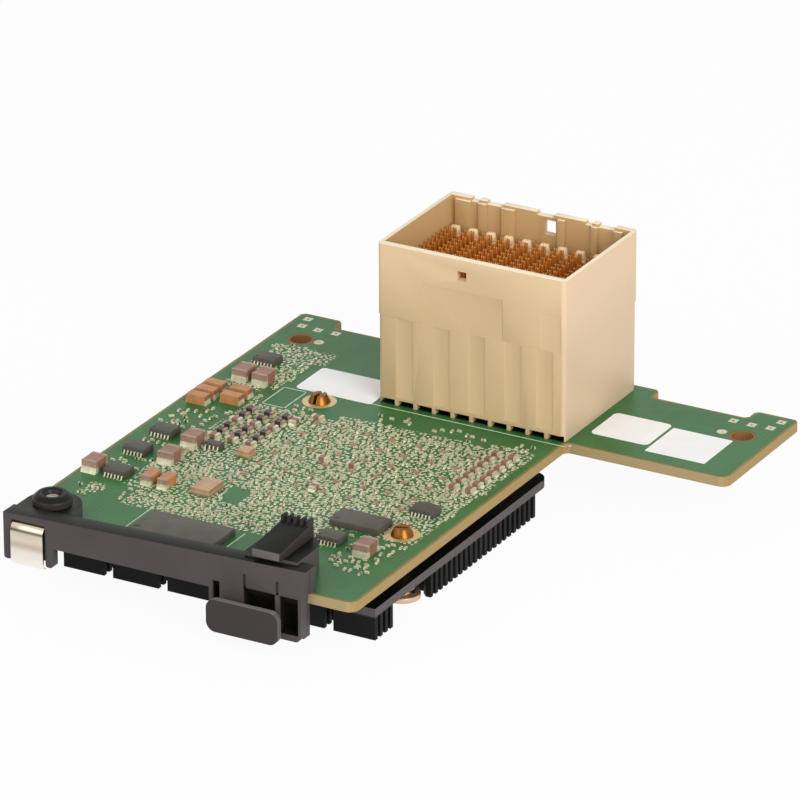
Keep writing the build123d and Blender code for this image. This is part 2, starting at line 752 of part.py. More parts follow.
# Moulded tantalum capacitors, most along the board and two turned across it, with strip terminals
half_width = tantalum_width / 2
half_depth = tantalum_depth / 2
along = [Location((left + half_width, front + half_depth)) for left, front in tantalum_corners]
turned = [Location((left + half_depth, front + half_width), 90) for left, front in tantalum_turned_corners]
body_width = tantalum_width - 2 * tantalum_terminal
with BuildPart() as tantalum_capacitors:
    with BuildSketch(level(0, 0, 0)):
        with Locations(*along, *turned):
            Rectangle(body_width, tantalum_depth)
    extrude(amount=tantalum_height)
tantalum_capacitors.part.label = "tantalum_capacitors"
export_step(tantalum_capacitors.part, "parts/tantalum_capacitors.step")

with BuildPart() as tantalum_terminals:
    with BuildSketch(level(0, 0, 0)):
        with Locations(*along, *turned):
            with GridLocations(tantalum_width - tantalum_terminal, 0, 2, 1):
                Rectangle(tantalum_terminal, tantalum_strip)
    extrude(amount=tantalum_height / 2)
tantalum_terminals.part.label = "tantalum_terminals"
export_step(tantalum_terminals.part, "parts/tantalum_terminals.step")

# Small chip parts: a field between the connector and the logic chip, every other one turned
right_mid_x = [main_width - margin for margin in right_mid_margins]
field_right = min(right_mid_x) - mid_part_length / 2 - field_right_gap
field_columns = int((field_right - field_left) / small_part_pitch_x) + 1
field_rows = int((connector_front - field_back_gap - field_front) / small_part_pitch_y) + 1
with BuildPart() as small_parts:
    with BuildSketch(level(field_left, field_front, 0)):
        for column in range(field_columns):
            for row in range(field_rows):
                place = (column * small_part_pitch_x, row * small_part_pitch_y)
                with Locations(Location(place, 90 * ((column + row) % 2))):
                    Rectangle(small_part_length, small_part_width)
    extrude(amount=small_part_height)
small_parts.part.label = "small_parts"
export_step(small_parts.part, "parts/small_parts.step")

# Middle-sized ceramic parts in columns at the left and right of that field
left_mid_rows = int((pin_rear_y - left_mid_back_gap - left_mid_front) / mid_part_pitch) + 1
right_mid_rows = int((connector_front - right_mid_back_gap - right_mid_front) / mid_part_pitch) + 1
mid_columns = [(column_x, left_mid_front, left_mid_rows) for column_x in left_mid_x]
mid_columns += [(column_x, right_mid_front, right_mid_rows) for column_x in right_mid_x]
with BuildPart() as middle_parts:
    with BuildSketch(level(0, 0, 0)):
        for column_x, column_front, rows in mid_columns:
            for row in range(rows):
                with Locations((column_x, column_front + row * mid_part_pitch)):
                    Rectangle(mid_part_length, mid_part_width)
    extrude(amount=mid_part_height)
middle_parts.part.label = "middle_parts"
export_step(middle_parts.part, "parts/middle_parts.step")
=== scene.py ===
# %% [markdown]
# A plug-in card for a blade server: a green circuit board with a tall shrouded connector at the back,
# a finned heat sink held under it by two push pins, and a black bracket with a latch along its front
# edge. The measured solids come in as a fixed frame, and every finish and small piece is added to it.

# %% Load the measured frame
import math
import random

import bpy
from mathutils import Matrix, Vector


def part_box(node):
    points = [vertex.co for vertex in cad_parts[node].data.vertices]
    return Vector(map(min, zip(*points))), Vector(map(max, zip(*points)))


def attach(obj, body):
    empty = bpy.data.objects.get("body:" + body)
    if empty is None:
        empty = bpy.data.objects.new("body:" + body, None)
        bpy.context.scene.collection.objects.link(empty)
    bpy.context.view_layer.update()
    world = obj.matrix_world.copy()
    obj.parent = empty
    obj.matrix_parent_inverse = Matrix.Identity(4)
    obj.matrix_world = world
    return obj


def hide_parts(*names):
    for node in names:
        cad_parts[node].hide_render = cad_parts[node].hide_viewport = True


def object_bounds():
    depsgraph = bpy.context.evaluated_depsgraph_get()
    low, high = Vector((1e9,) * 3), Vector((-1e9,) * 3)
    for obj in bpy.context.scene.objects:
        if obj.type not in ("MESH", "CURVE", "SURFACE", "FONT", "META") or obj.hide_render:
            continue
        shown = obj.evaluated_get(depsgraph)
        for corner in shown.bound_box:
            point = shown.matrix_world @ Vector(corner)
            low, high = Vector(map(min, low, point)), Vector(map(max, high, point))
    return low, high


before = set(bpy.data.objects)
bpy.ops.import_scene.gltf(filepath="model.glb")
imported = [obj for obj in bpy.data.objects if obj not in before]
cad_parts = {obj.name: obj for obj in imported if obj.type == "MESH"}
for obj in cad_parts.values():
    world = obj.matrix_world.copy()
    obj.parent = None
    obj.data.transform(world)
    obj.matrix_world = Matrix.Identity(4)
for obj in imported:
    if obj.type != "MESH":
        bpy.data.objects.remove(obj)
cad_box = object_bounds()
print("nodes in the frame:", len(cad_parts))

# %% [markdown]
# Places on a circuit board are read from one corner, as on its drawing. A small function turns
# millimetres from the board's front left corner, and above its top face, into a point in the scene, so
# that the numbers below can be compared with a ruler laid on the card.

# %% Board coordinates
mm = 0.001
board_low, board_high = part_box("circuit_board")


def spot(x, y, z=0.0):
    """The point x and y millimetres from the board's front left corner, z above its top face."""
    return Vector((board_low.x + x * mm, board_low.y + y * mm, board_high.z + z * mm))


def board_mm(point):
    """A point of the scene in millimetres from the board's front left corner and its top face."""
    return [(value - start) / mm for value, start in zip(point, spot(0, 0))]


print("board, mm:", [round(size / mm, 2) for size in board_high - board_low])

# %% [markdown]
# The photograph is a long-lens product shot: the edges of the connector stay almost parallel. A camera
# could be aimed by eye, but a long lens makes small errors show, so its place and turn are the ones at
# which the board's corners and the connector's rim fall where the picture has them.

# %% Camera
camera_place = (0.48653782, -0.86821746, 0.4609446)
camera_turn = math.radians(29.26003)
camera_dip = math.radians(23.78756)
camera_roll = math.radians(-0.21)
focal_length = 332.36
film_width = 36
bpy.ops.object.camera_add(location=camera_place)
camera = bpy.context.object
aim = Matrix.Rotation(camera_turn, 3, "Z") @ Matrix.Rotation(math.pi / 2 - camera_dip, 3, "X")
camera.rotation_euler = (aim @ Matrix.Rotation(camera_roll, 3, "Z")).to_euler()
camera.data.sensor_width = film_width
camera.data.lens = focal_length
camera.data.clip_end = 10
bpy.context.scene.camera = camera
bpy.context.scene.view_settings.view_transform = "Standard"
print("camera height, m:", round(camera.location.z, 3))

# %% [markdown]
# Node trees are easier to read when a node, its settings and its inputs are given in one line. This
# helper makes a node and either sets an input or links it, depending on what it is handed. Colours are
# written as they read in a paint program, from 0 to 255, and turned into the linear values that
# Blender's sockets expect.

# %% Helpers for node trees
def add_node(tree, kind, inputs=None, **settings):
    """A node in the tree, with its settings made and its inputs set or linked."""
    fresh = tree.nodes.new(kind)
    for key, value in settings.items():
        setattr(fresh, key, value)
    for key, value in (inputs or {}).items():
        if isinstance(value, bpy.types.NodeSocket):
            tree.links.new(value, fresh.inputs[key])
        else:
            fresh.inputs[key].default_value = value
    return fresh


def paint(red, green, blue):
    """A screen colour as a linear colour with full alpha."""
    linear = []
    for part in (red, green, blue):
        share = part / 255
        linear.append(share / 12.92 if share <= 0.04045 else ((share + 0.055) / 1.055) ** 2.4)
    return (*linear, 1.0)


def maths(tree, operation, first, second=0.0):
    """The result of one sum in a node tree."""
    return add_node(tree, "ShaderNodeMath", {0: first, 1: second}, operation=operation).outputs[0]


def blend_colours(tree, mask, first, second):
    """The first colour where the mask is 0 and the second where it is 1."""
    mixer = add_node(tree, "ShaderNodeMix", {"Factor": mask, 6: first, 7: second}, data_type="RGBA")
    return mixer.outputs[2]


def ramp(tree, value, low, high):
    """0 at low, 1 at high, a straight slope between them and level beyond."""
    slope = add_node(tree, "ShaderNodeMapRange", {"Value": value, "From Min": low, "From Max": high})
    return slope.outputs["Result"]


print("node helpers ready")

# %% [markdown]
# The card was photographed on white with light from all round, so its shadow is almost gone. A white
# sheet under strong lamps would burn out the pale plastic, so the floor itself is told to look white to
# the camera and to shiny metal, and a share of its real shading is kept for the shadow.

# %% Floor
def seen_directly(tree):
    """1 for rays from the camera, from shiny metal and through glass, 0 for light on its way."""
    rays = add_node(tree, "ShaderNodeLightPath").outputs
    shiny = maths(tree, "MAXIMUM", rays["Is Glossy Ray"], rays["Is Transmission Ray"])
    return maths(tree, "MAXIMUM", rays["Is Camera Ray"], shiny)


white = (1, 1, 1, 1)
floor_glow = 0.94
floor_size = 4
floor_height = cad_box[0][2]
bpy.ops.mesh.primitive_plane_add(size=floor_size, location=(0, 0, floor_height))
floor = bpy.context.object
floor.name = "floor"
paper = bpy.data.materials.new("white_paper")
paper.use_nodes = True
tree = paper.node_tree
glow = add_node(tree, "ShaderNodeEmission", {"Color": white, "Strength": 1.0})
shade = add_node(tree, "ShaderNodeBsdfDiffuse", {"Color": paint(244, 244, 243)})
share = maths(tree, "MULTIPLY", seen_directly(tree), floor_glow)
both = add_node(tree, "ShaderNodeMixShader", {0: share, 1: shade.outputs[0], 2: glow.outputs[0]})
tree.links.new(both.outputs[0], tree.nodes["Material Output"].inputs["Surface"])
floor.data.materials.append(paper)
print("floor at z =", round(floor_height, 5))

# %% [markdown]
# The light is soft and comes mostly from the front: upright faces are brighter than level ones, and the
# connector's right wall is a little brighter than its front. A wide low lamp at the right, a weaker one
# at the front left and an even sky give that, and light a plain surface to about its own colour.

# %% Lights
card_middle = Vector((0, 0, 0.015))
sky_strength = 0.6


def soft_lamp(name, place, size, power):
    """A square lamp that looks at the middle of the card."""
    bpy.ops.object.light_add(type="AREA", location=place)
    lamp = bpy.context.object
    lamp.name = name
    lamp.data.size = size
    lamp.data.energy = power
    lamp.rotation_euler = (card_middle - Vector(place)).to_track_quat("-Z", "Y").to_euler()


soft_lamp("lamp_right", (0.9, -0.6, 0.45), 0.7, 9.6)
soft_lamp("lamp_front_left", (-0.45, -1.0, 0.5), 0.8, 2.8)
world = bpy.data.worlds.new("even_sky")
bpy.context.scene.world = world
world.use_nodes = True
tree = world.node_tree
sky = tree.nodes["Background"]
sky.inputs["Color"].default_value = white
sky.inputs["Strength"].default_value = sky_strength
backdrop = add_node(tree, "ShaderNodeBackground", {"Color": white, "Strength": 1.0})
seen = seen_directly(tree)
both = add_node(tree, "ShaderNodeMixShader", {0: seen, 1: sky.outputs[0], 2: backdrop.outputs[0]})
tree.links.new(both.outputs[0], tree.nodes["World Output"].inputs["Surface"])

# %% [markdown]
# Moulded plastic, epoxy, plating and board all share one thing: their colour and gloss drift a little
# from place to place, and their skin has a fine grain. That effect is built once as a node group with
# a slow cloud for the drift and a fine one for the grain, and each finish sets its own scales.

# %% Shared grain
def new_group(name, inputs, outputs):
    """A node group with named sockets, and what comes in through them."""
    group = bpy.data.node_groups.new(name, "ShaderNodeTree")
    for way, sockets in (("INPUT", inputs), ("OUTPUT", outputs)):
        for label, kind in sockets.items():
            group.interface.new_socket(label, in_out=way, socket_type=f"NodeSocket{kind}")
    return group, add_node(group, "NodeGroupInput").outputs


grain, came_in = new_group(
    "cloud_and_grain", {"Vector": "Vector", "Cloud": "Float", "Grain": "Float"},
    {"Drift": "Float", "Height": "Float"},
)
noises = []
for label, detail in (("Cloud", 4.0), ("Grain", 2.0)):
    sockets = {"Vector": came_in["Vector"], "Scale": came_in[label], "Detail": detail}
    noises.append(add_node(grain, "ShaderNodeTexNoise", sockets).outputs["Fac"])
drift = ramp(grain, noises[0], 0.3, 0.7)
add_node(grain, "NodeGroupOutput", {"Drift": drift, "Height": noises[1]})
print("grain group:", grain.name)

# %% [markdown]
# Every finish starts and ends alike. At the start it gets its object coordinates and its own clouds of
# grain, and at the end a colour, a roughness that follows the grain, and a skin. Most pieces are one
# plain stuff each, so a third function makes a finish that drifts between two colours.

# %% Start and end of a finish
def start_finish(name, cloud, fine):
    """A material with its node tree, its object coordinates and its clouds of grain."""
    material = bpy.data.materials.new(name)
    material.use_nodes = True
    tree = material.node_tree
    place = add_node(tree, "ShaderNodeTexCoord").outputs["Object"]
    scales = {"Vector": place, "Cloud": cloud, "Grain": fine}
    clouds = add_node(tree, "ShaderNodeGroup", scales, node_tree=grain)
    return material, tree, place, clouds.outputs


def end_finish(tree, colour, clouds, gloss, bump, metal=0.0, skin=None, depth=0.02):
    """Gives the shader its colour, a roughness between two values and a skin of some depth."""
    shader = tree.nodes["Principled BSDF"].inputs
    grain_height = clouds["Height"]
    rough = add_node(
        tree, "ShaderNodeMapRange", {"Value": grain_height, "To Min": gloss[0], "To Max": gloss[1]}
    )
    relief = {"Height": skin or grain_height, "Strength": bump, "Distance": depth * mm}
    tree.links.new(colour, shader["Base Color"])
    tree.links.new(rough.outputs["Result"], shader["Roughness"])
    tree.links.new(add_node(tree, "ShaderNodeBump", relief).outputs["Normal"], shader["Normal"])
    shader["Metallic"].default_value = metal


def grained(name, first, second, gloss, metal=0.0, cloud=160.0, fine=4000.0, bump=0.12):
    """A finish that drifts between two colours and two roughnesses, with a fine grain on its skin."""
    material, tree, _, clouds = start_finish(name, cloud, fine)
    colour = blend_colours(tree, clouds["Drift"], paint(*first), paint(*second))
    end_finish(tree, colour, clouds, gloss, bump, metal)
    return material


print("finish helpers ready")

# %% [markdown]
# A list of grained finishes covers the plain pieces: black moulding, chip epoxy, brass, steel, tinned
# metal, capacitor bodies, paper and ink. Each has its two colours and its range of roughness.

# %% Plain finishes
black_moulding = grained("black_moulding", (70, 65, 64), (80, 74, 73), (0.34, 0.5), cloud=90, bump=0.2)
rivet_black = grained("rivet_black", (48, 44, 43), (56, 51, 50), (0.3, 0.42), cloud=90, bump=0.2)
chip_epoxy = grained("chip_epoxy", (66, 63, 55), (82, 78, 68), (0.45, 0.62), cloud=500, fine=6000)
pin_brass = grained("pin_brass", (140, 90, 30), (120, 72, 22), (0.24, 0.4), metal=0.85, cloud=900)
spring_wire = grained("spring_wire_steel", (176, 174, 168), (150, 148, 144), (0.25, 0.4), metal=1.0)
tinned = grained("tinned", (224, 220, 192), (192, 186, 154), (0.28, 0.46), metal=0.35, cloud=1200)
cap_plating = grained("cap_plating", (178, 150, 128), (156, 126, 106), (0.3, 0.46), metal=0.3, cloud=1200)
pad_gilt = grained("pad_gilt", (226, 202, 148), (204, 178, 122), (0.26, 0.42), metal=0.5, cloud=900)
crystal_lid = grained("crystal_lid", (200, 168, 134), (176, 142, 110), (0.3, 0.42), metal=0.6, cloud=500)
ceramic_brown = grained("ceramic_brown", (154, 112, 92), (130, 90, 72), (0.3, 0.45), cloud=700)
tantalum_orange = grained("tantalum_orange", (198, 140, 90), (172, 112, 66), (0.35, 0.5), cloud=600)
tantalum_end = grained("tantalum_end", (156, 112, 82), (128, 86, 60), (0.35, 0.5), cloud=900)
resistor_black = grained("resistor_black", (46, 42, 38), (66, 58, 52), (0.3, 0.5), cloud=1500)
ceramic_tan = grained("ceramic_tan", (176, 144, 114), (146, 112, 86), (0.35, 0.5), cloud=1500)
ceramic_cream = grained("ceramic_cream", (208, 206, 170), (170, 174, 134), (0.35, 0.5), cloud=1500)
white_paper = grained("white_label_paper", (254, 254, 253), (248, 248, 246), (0.5, 0.62), cloud=200)
white_ink = grained("white_ink", (214, 220, 200), (196, 206, 184), (0.55, 0.7), cloud=900)
grey_pad = grained("grey_pad", (150, 152, 154), (136, 138, 140), (0.6, 0.75), cloud=300)
print("plain finishes: from", black_moulding.name, "to", grey_pad.name)

# %% [markdown]
# The connector's plastic is glass-filled and beige. Its colour is painted lighter towards the rim, as
# light that catches it there, and deeper towards the board, as shade. The wafers inside are the same
# stuff, painted dark below their tips as shade. The contact blades get a painted highlight at their tips
# and painted brown shade lower down, where they stand close together. The heat sink's fins are painted
# near black as shade below the paler plate, and the chrome clip gets painted reflection, white low down
# and warmer higher up, so the colour of each follows its height.

# %% Finishes that change with height
def height_of(material):
    """The height of the point that is shaded, as a socket in the material's tree."""
    tree = material.node_tree
    place = tree.nodes["Texture Coordinate"].outputs["Object"]
    return add_node(tree, "ShaderNodeSeparateXYZ", {0: place}).outputs["Z"]


def height_mask(material, low, high):
    """A mask that runs from 0 to 1 between two heights, in millimetres above the board."""
    return ramp(material.node_tree, height_of(material), spot(0, 0, low).z, spot(0, 0, high).z)


def by_height(name, low, high, low_colour, high_colour, gloss, metal=0.0, drift=0.16):
    """A finish whose colour runs from one height to another, in millimetres above the board."""
    material, tree, _, clouds = start_finish(name, cloud=120.0, fine=3000.0)
    terms = {0: clouds["Drift"], 1: drift, 2: height_mask(material, low, high)}
    climb = add_node(tree, "ShaderNodeMath", terms, operation="MULTIPLY_ADD").outputs[0]
    colour = blend_colours(tree, climb, paint(*low_colour), paint(*high_colour))
    end_finish(tree, colour, clouds, gloss, bump=0.1, metal=metal)
    return material


# painted light and shade by height; on the clip it is painted reflection
beige_moulding = by_height("beige_moulding", 0, 26, (200, 172, 128), (218, 188, 150), (0.42, 0.56))
wafer_moulding = by_height("wafer_moulding", 19.6, 20.2, (104, 62, 26), (250, 226, 180), (0.45, 0.6))
contact_plating = by_height("contact_plating", 15.5, 21, (150, 84, 20), (236, 162, 70), (0.25, 0.4), 0.5)
clip_plating = by_height("clip_plating", -5, 0.5, (250, 246, 240), (214, 200, 178), (0.14, 0.22), 1.0)
black_anodised = by_height(
    "black_anodised", -6.6, -6.3, (9, 8, 8), (92, 86, 86), (0.5, 0.65), drift=0.1
)
dull_shine = 0.12
for finish in (black_anodised, black_moulding, rivet_black):
    shader = finish.node_tree.nodes["Principled BSDF"].inputs
    shader["Specular IOR Level"].default_value = dull_shine
print("height finishes:", beige_moulding.name, wafer_moulding.name, contact_plating.name)

# %% [markdown]
# The bare board is glass and resin in layers: tan at the cut edge with fine level lines, and an ochre
# rim on its faces where the green mask stops short of the edge. The side and the face are told apart by
# the surface normal, which is the same from every view.

# %% Board laminate
laminate, tree, place, clouds = start_finish("board_laminate", cloud=260.0, fine=5000.0)
layers = add_node(
    tree, "ShaderNodeTexWave", {"Vector": place, "Scale": 900.0, "Distortion": 1.2, "Detail": 1.0},
    wave_type="BANDS", bands_direction="Z",
)
cut_edge = blend_colours(tree, layers.outputs["Fac"], paint(150, 130, 90), paint(168, 147, 105))
rim = blend_colours(tree, clouds["Drift"], paint(132, 120, 62), paint(112, 108, 58))
normal = add_node(tree, "ShaderNodeNewGeometry").outputs["Normal"]
level = maths(tree, "ABSOLUTE", add_node(tree, "ShaderNodeSeparateXYZ", {0: normal}).outputs["Z"])
colour = blend_colours(tree, ramp(tree, level, 0.4, 0.6), cut_edge, rim)
end_finish(tree, colour, clouds, gloss=(0.55, 0.55), bump=0.2)
print("laminate:", laminate.name)

# %% [markdown]
# Several finishes need to know where on the board they are: which walls are inside the shroud, which
# faces belong to the latch, or where holes are crowded. A node group turns object coordinates into a
# mask for a rectangle with soft edges, by taking the smallest distance to its four sides.

# %% Zones on the board
zone, came_in = new_group(
    "board_zone", {"Vector": "Vector", "Low": "Vector", "High": "Vector", "Soft": "Float"},
    {"Mask": "Float"},
)


def vectors(operation, first, second):
    """The result of one sum with vectors in the zone group."""
    return add_node(zone, "ShaderNodeVectorMath", {0: first, 1: second}, operation=operation).outputs[0]


above = vectors("SUBTRACT", came_in["Vector"], came_in["Low"])
below = vectors("SUBTRACT", came_in["High"], came_in["Vector"])
sides = add_node(zone, "ShaderNodeSeparateXYZ", {0: vectors("MINIMUM", above, below)}).outputs
softness = maths(zone, "DIVIDE", maths(zone, "MINIMUM", sides["X"], sides["Y"]), came_in["Soft"])
add_node(zone, "NodeGroupOutput", {"Mask": add_node(zone, "ShaderNodeClamp", {0: softness}).outputs[0]})


def board_zone(material, left, front, right, back, soft):
    """A mask that is 1 inside a rectangle of the board, given in millimetres, with soft edges."""
    tree = material.node_tree
    place = tree.nodes["Texture Coordinate"].outputs["Object"]
    area = {"Vector": place, "Low": spot(left, front), "High": spot(right, back), "Soft": soft * mm}
    return add_node(tree, "ShaderNodeGroup", area, node_tree=zone).outputs["Mask"]


print("zone group:", zone.name)

# %% [markdown]
# A tint blends a colour into a finish where masks say so. The masks come from a zone, from the height,
# or from the way a face looks. The connector's right wall gets painted light. Inside the shroud the
# beige plastic is painted deeper and more orange: painted shade, because little light gets in, and
# painted light thrown back by the contacts. The top of its rim gets a painted highlight, the wafers'
# feet are painted dark as shade, and the tops of the contact blades get a painted highlight.

# %% Tints of the connector
def facing(material, axis, way=1):
    """1 on faces that look along an axis, such as up for Z, or against it, and 0 across it."""
    tree = material.node_tree
    normal = add_node(tree, "ShaderNodeNewGeometry").outputs["Normal"]
    share = add_node(tree, "ShaderNodeSeparateXYZ", {0: normal}).outputs[axis]
    return ramp(tree, share, 0.4 * way, 0.6 * way)


def tint(material, colour, mask, *more_masks):
    """Blends a colour into a finish by the product of masks, made in its tree, and of plain shares."""
    tree = material.node_tree
    for other in more_masks:
        mask = maths(tree, "MULTIPLY", mask, other)
    base = tree.nodes["Principled BSDF"].inputs["Base Color"]
    tree.links.new(blend_colours(tree, mask, base.links[0].from_socket, paint(*colour)), base)


housing_low, housing_high = (board_mm(corner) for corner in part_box("connector_housing"))
wall_skin = 0.4
inner_low = [value + wall_skin for value in housing_low[:2]]
inner_high = [value - wall_skin for value in housing_high[:2]]
cavity = board_zone(beige_moulding, *inner_low, *inner_high, 0.1)
up = facing(beige_moulding, "Z")
not_up = maths(beige_moulding.node_tree, "SUBTRACT", 1.0, up)
# painted light on the right wall, painted shade in the shroud, painted highlight on the rim's top
tint(beige_moulding, (215, 187, 155), facing(beige_moulding, "X"))
tint(beige_moulding, (190, 154, 105), cavity, not_up)
tint(beige_moulding, (252, 236, 204), up, height_mask(beige_moulding, 24.5, 25))
# painted shade at the wafers' feet, painted highlight on the contact tips
tint(wafer_moulding, (24, 20, 12), height_mask(wafer_moulding, 3, 2))
tint(contact_plating, (246, 214, 150), facing(contact_plating, "Z"))
print("connector, mm:", [round(high - low, 1) for low, high in zip(housing_low, housing_high)])

# %% [markdown]
# The black parts are lit from the front, so their tops are painted darker as shade. The latch's lip is
# a little darker than the bracket, with painted highlights on its top and right edges, and the pocket
# behind it is painted dark as shade. The front edge of the knob on the right rivet gets a painted
# highlight.

# %% Tints of the black parts
# painted shade on the heat sink's tops
tint(black_anodised, (10, 8, 8), facing(black_anodised, "Z"))
knob_low, knob_high = (board_mm(corner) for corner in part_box("bracket_rivet_right"))
knob_edge = knob_low[1] + 1.2
knob_front = board_zone(rivet_black, knob_low[0], knob_low[1] - 1, knob_high[0], knob_edge, 0.2)
# painted shade on the rivets' tops, painted highlight on the knob's front edge
tint(rivet_black, (26, 26, 24), facing(rivet_black, "Z"))
tint(rivet_black, (96, 91, 89), knob_front, facing(rivet_black, "Y", -1))
bracket_low, bracket_high = (board_mm(corner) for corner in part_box("front_bracket"))
latch_width = 16.1
latch_right = bracket_high[0]
latch_left = latch_right - latch_width
lip_back = -2.4
pocket_front, pocket_back = -1.4, 4.0
lip = board_zone(black_moulding, latch_left, bracket_low[1] - 1, latch_right, lip_back, 0.4)
pocket = board_zone(
    black_moulding, latch_left + 0.3, pocket_front, latch_right - 1.5, pocket_back, 0.25
)
# painted shade on the bracket's tops, painted highlights on the lip's edges, painted shade in the pocket
tint(black_moulding, (19, 20, 15), facing(black_moulding, "Z"))
tint(black_moulding, (50, 47, 46), lip, 0.75)
tint(black_moulding, (118, 114, 111), lip, facing(black_moulding, "Z"))
tint(black_moulding, (94, 91, 89), lip, facing(black_moulding, "X"))
tint(black_moulding, (27, 24, 23), pocket, height_mask(black_moulding, -0.2, -0.7))
print("latch, mm from the board's left edge:", round(latch_left, 1), "to", round(latch_right, 1))

# %% [markdown]
# The bright clip gets two level bands of painted reflection, one dark and one warm, and the heads of
# the push pins are paler than their tips. The board's right edge is more golden than its front, and
# the walls of its fixing holes are stained brown by the cutter.

# %% Tints of metal and board
# painted reflection: two level bands across the chrome clip
clip_reflection_bands = ((0.2, 0.42, 0.95, (64, 55, 46)), (-2.1, 0.9, 0.55, (170, 142, 106)))
tree = clip_plating.node_tree
for middle, half, strength, colour in clip_reflection_bands:
    from_middle = maths(tree, "SUBTRACT", height_of(clip_plating), spot(0, 0, middle).z)
    band = ramp(tree, maths(tree, "ABSOLUTE", from_middle), half * mm, 0.0)
    tint(clip_plating, colour, band, strength)
tint(pin_brass, (222, 186, 158), height_mask(pin_brass, -4, -6))
tint(laminate, (156, 128, 76), facing(laminate, "X"))
board_width = board_mm(board_high)[0]
fixing_inset, fixing_y, fixing_reach = 4.9, 79.0, 2.4
front, back = fixing_y - fixing_reach, fixing_y + fixing_reach
for fixing_x in (fixing_inset, board_width - fixing_inset):
    walls = board_zone(laminate, fixing_x - fixing_reach, front, fixing_x + fixing_reach, back, 0.1)
    tint(laminate, (128, 84, 34), walls)
print("board width, mm:", round(board_width, 2))

# %% [markdown]
# Solder mask is a thin green lacquer. Copper tracks under it show as paler lines, and plated holes as
# cream rings, packed close together over the big chip underneath. Modelling thousands of rings would
# be heavy and too small to see, so a cell pattern draws them, and zones say where.

# %% Green mask with tracks and plated holes
def green_mask(name, ring_zones, clear_zones=()):
    """Green lacquer with paler tracks, and cream rings in some rectangles but not in others."""
    material, tree, place, clouds = start_finish(name, cloud=130.0, fine=3500.0)
    lacquer = blend_colours(tree, clouds["Drift"], paint(42, 99, 46), paint(54, 113, 58))
    bundles = add_node(
        tree, "ShaderNodeTexVoronoi", {"Vector": place, "Scale": 150.0, "Randomness": 0.8},
        voronoi_dimensions="2D", feature="F1", distance="CHEBYCHEV",
    )
    chances = add_node(tree, "ShaderNodeSeparateColor", {0: bundles.outputs["Color"]}).outputs
    lines = []
    for axis, chance in zip("XY", chances):
        waves = add_node(
            tree, "ShaderNodeTexWave", {"Vector": place, "Scale": 420.0}, bands_direction=axis
        )
        stripes = ramp(tree, waves.outputs["Fac"], 0.8, 0.95)
        lines.append(maths(tree, "MULTIPLY", stripes, ramp(tree, chance, 0.62, 0.64)))
    tracks = maths(tree, "MAXIMUM", *lines)
    lacquer = blend_colours(tree, maths(tree, "MULTIPLY", tracks, 0.16), lacquer, paint(92, 140, 98))
    dots = add_node(
        tree, "ShaderNodeTexVoronoi", {"Vector": place, "Scale": 1500.0, "Randomness": 0.75},
        voronoi_dimensions="2D", feature="F1",
    )
    outside = ramp(tree, dots.outputs["Distance"], 0.28, 0.36)
    clear_of_hole = ramp(tree, dots.outputs["Distance"], 0.06, 0.12)
    rings = maths(tree, "MULTIPLY", maths(tree, "SUBTRACT", 1.0, outside), clear_of_hole)
    crowded = 0.0
    for area in ring_zones:
        crowded = maths(tree, "MAXIMUM", crowded, board_zone(material, *area))
    for area in clear_zones:
        cleared = maths(tree, "MULTIPLY", board_zone(material, *area), 2.0)
        crowded = maths(tree, "SUBTRACT", crowded, cleared)
    patches = add_node(tree, "ShaderNodeTexNoise", {"Vector": place, "Scale": 170.0, "Detail": 2.0})
    ragged = maths(tree, "ADD", crowded, maths(tree, "SUBTRACT", patches.outputs["Fac"], 0.62))
    where = ramp(tree, ragged, 0.25, 0.4)
    tinned_here = maths(tree, "MULTIPLY", rings, where)
    colour = blend_colours(tree, tinned_here, lacquer, paint(226, 222, 190))
    pit = maths(tree, "MULTIPLY", maths(tree, "SUBTRACT", 1.0, clear_of_hole), where)
    colour = blend_colours(tree, maths(tree, "MULTIPLY", pit, 0.7), colour, paint(60, 70, 48))
    raised = maths(tree, "ADD", maths(tree, "MULTIPLY", tracks, 0.4), tinned_here)
    end_finish(tree, colour, clouds, (0.28, 0.42), 0.35, skin=raised, depth=0.03)
    tree.nodes["Principled BSDF"].inputs["Specular IOR Level"].default_value = 0.25
    return material


hole_zones = (
    (19, 20, 58, 58, 2.5), (9, 33, 23, 58, 2.0), (11, 13, 46, 25, 2.0), (3.5, 14, 7.5, 19, 1.5),
    (9, 59, 14, 77, 2.0), (49, 39, 58, 59, 1.5), (8, 19, 21, 35, 1.5), (2, 58, 10, 77, 1.5),
)
clear_zones = (
    (11, 54.4, 25, 71.6, 0.5), (26, 59, 59, 64, 2.0), (23, 20.5, 27.8, 27.5, 2.0), (8, 5, 17, 13, 2.0),
)
top_mask_finish = green_mask("green_mask_top", hole_zones, clear_zones)
under_mask_finish = green_mask("green_mask_under", [(6, 12, 56, 62, 4.0)])
# painted shade on the mask under the connector, where it shows through the slots
shade_under_connector = board_zone(top_mask_finish, *housing_low[:2], *housing_high[:2], 0.6)
tint(top_mask_finish, (14, 18, 8), shade_under_connector)
print("mask finishes:", top_mask_finish.name, under_mask_finish.name)

# %% [markdown]
# Modelling works as it does by hand: clear the selection, add a primitive, shape it in edit mode, and
# apply what was changed so that the finished object sits at the origin with its place in its mesh.
# These helpers keep each of those moves to one line.

# %% Helpers for selecting and editing
def clear_selection():
    """Nothing is selected any more."""
    bpy.ops.object.select_all(action="DESELECT")


def pick_only(piece):
    """Only this piece is selected, and it is the active one."""
    clear_selection()
    piece.select_set(True)
    bpy.context.view_layer.objects.active = piece


def settle(piece):
    """The piece's place, turn and size go into its mesh."""
    pick_only(piece)
    bpy.ops.object.transform_apply(location=True, rotation=True, scale=True)


def in_edit(piece):
    """The piece is open in edit mode with all of it selected."""
    pick_only(piece)
    bpy.ops.object.mode_set(mode="EDIT")
    bpy.ops.mesh.select_all(action="SELECT")


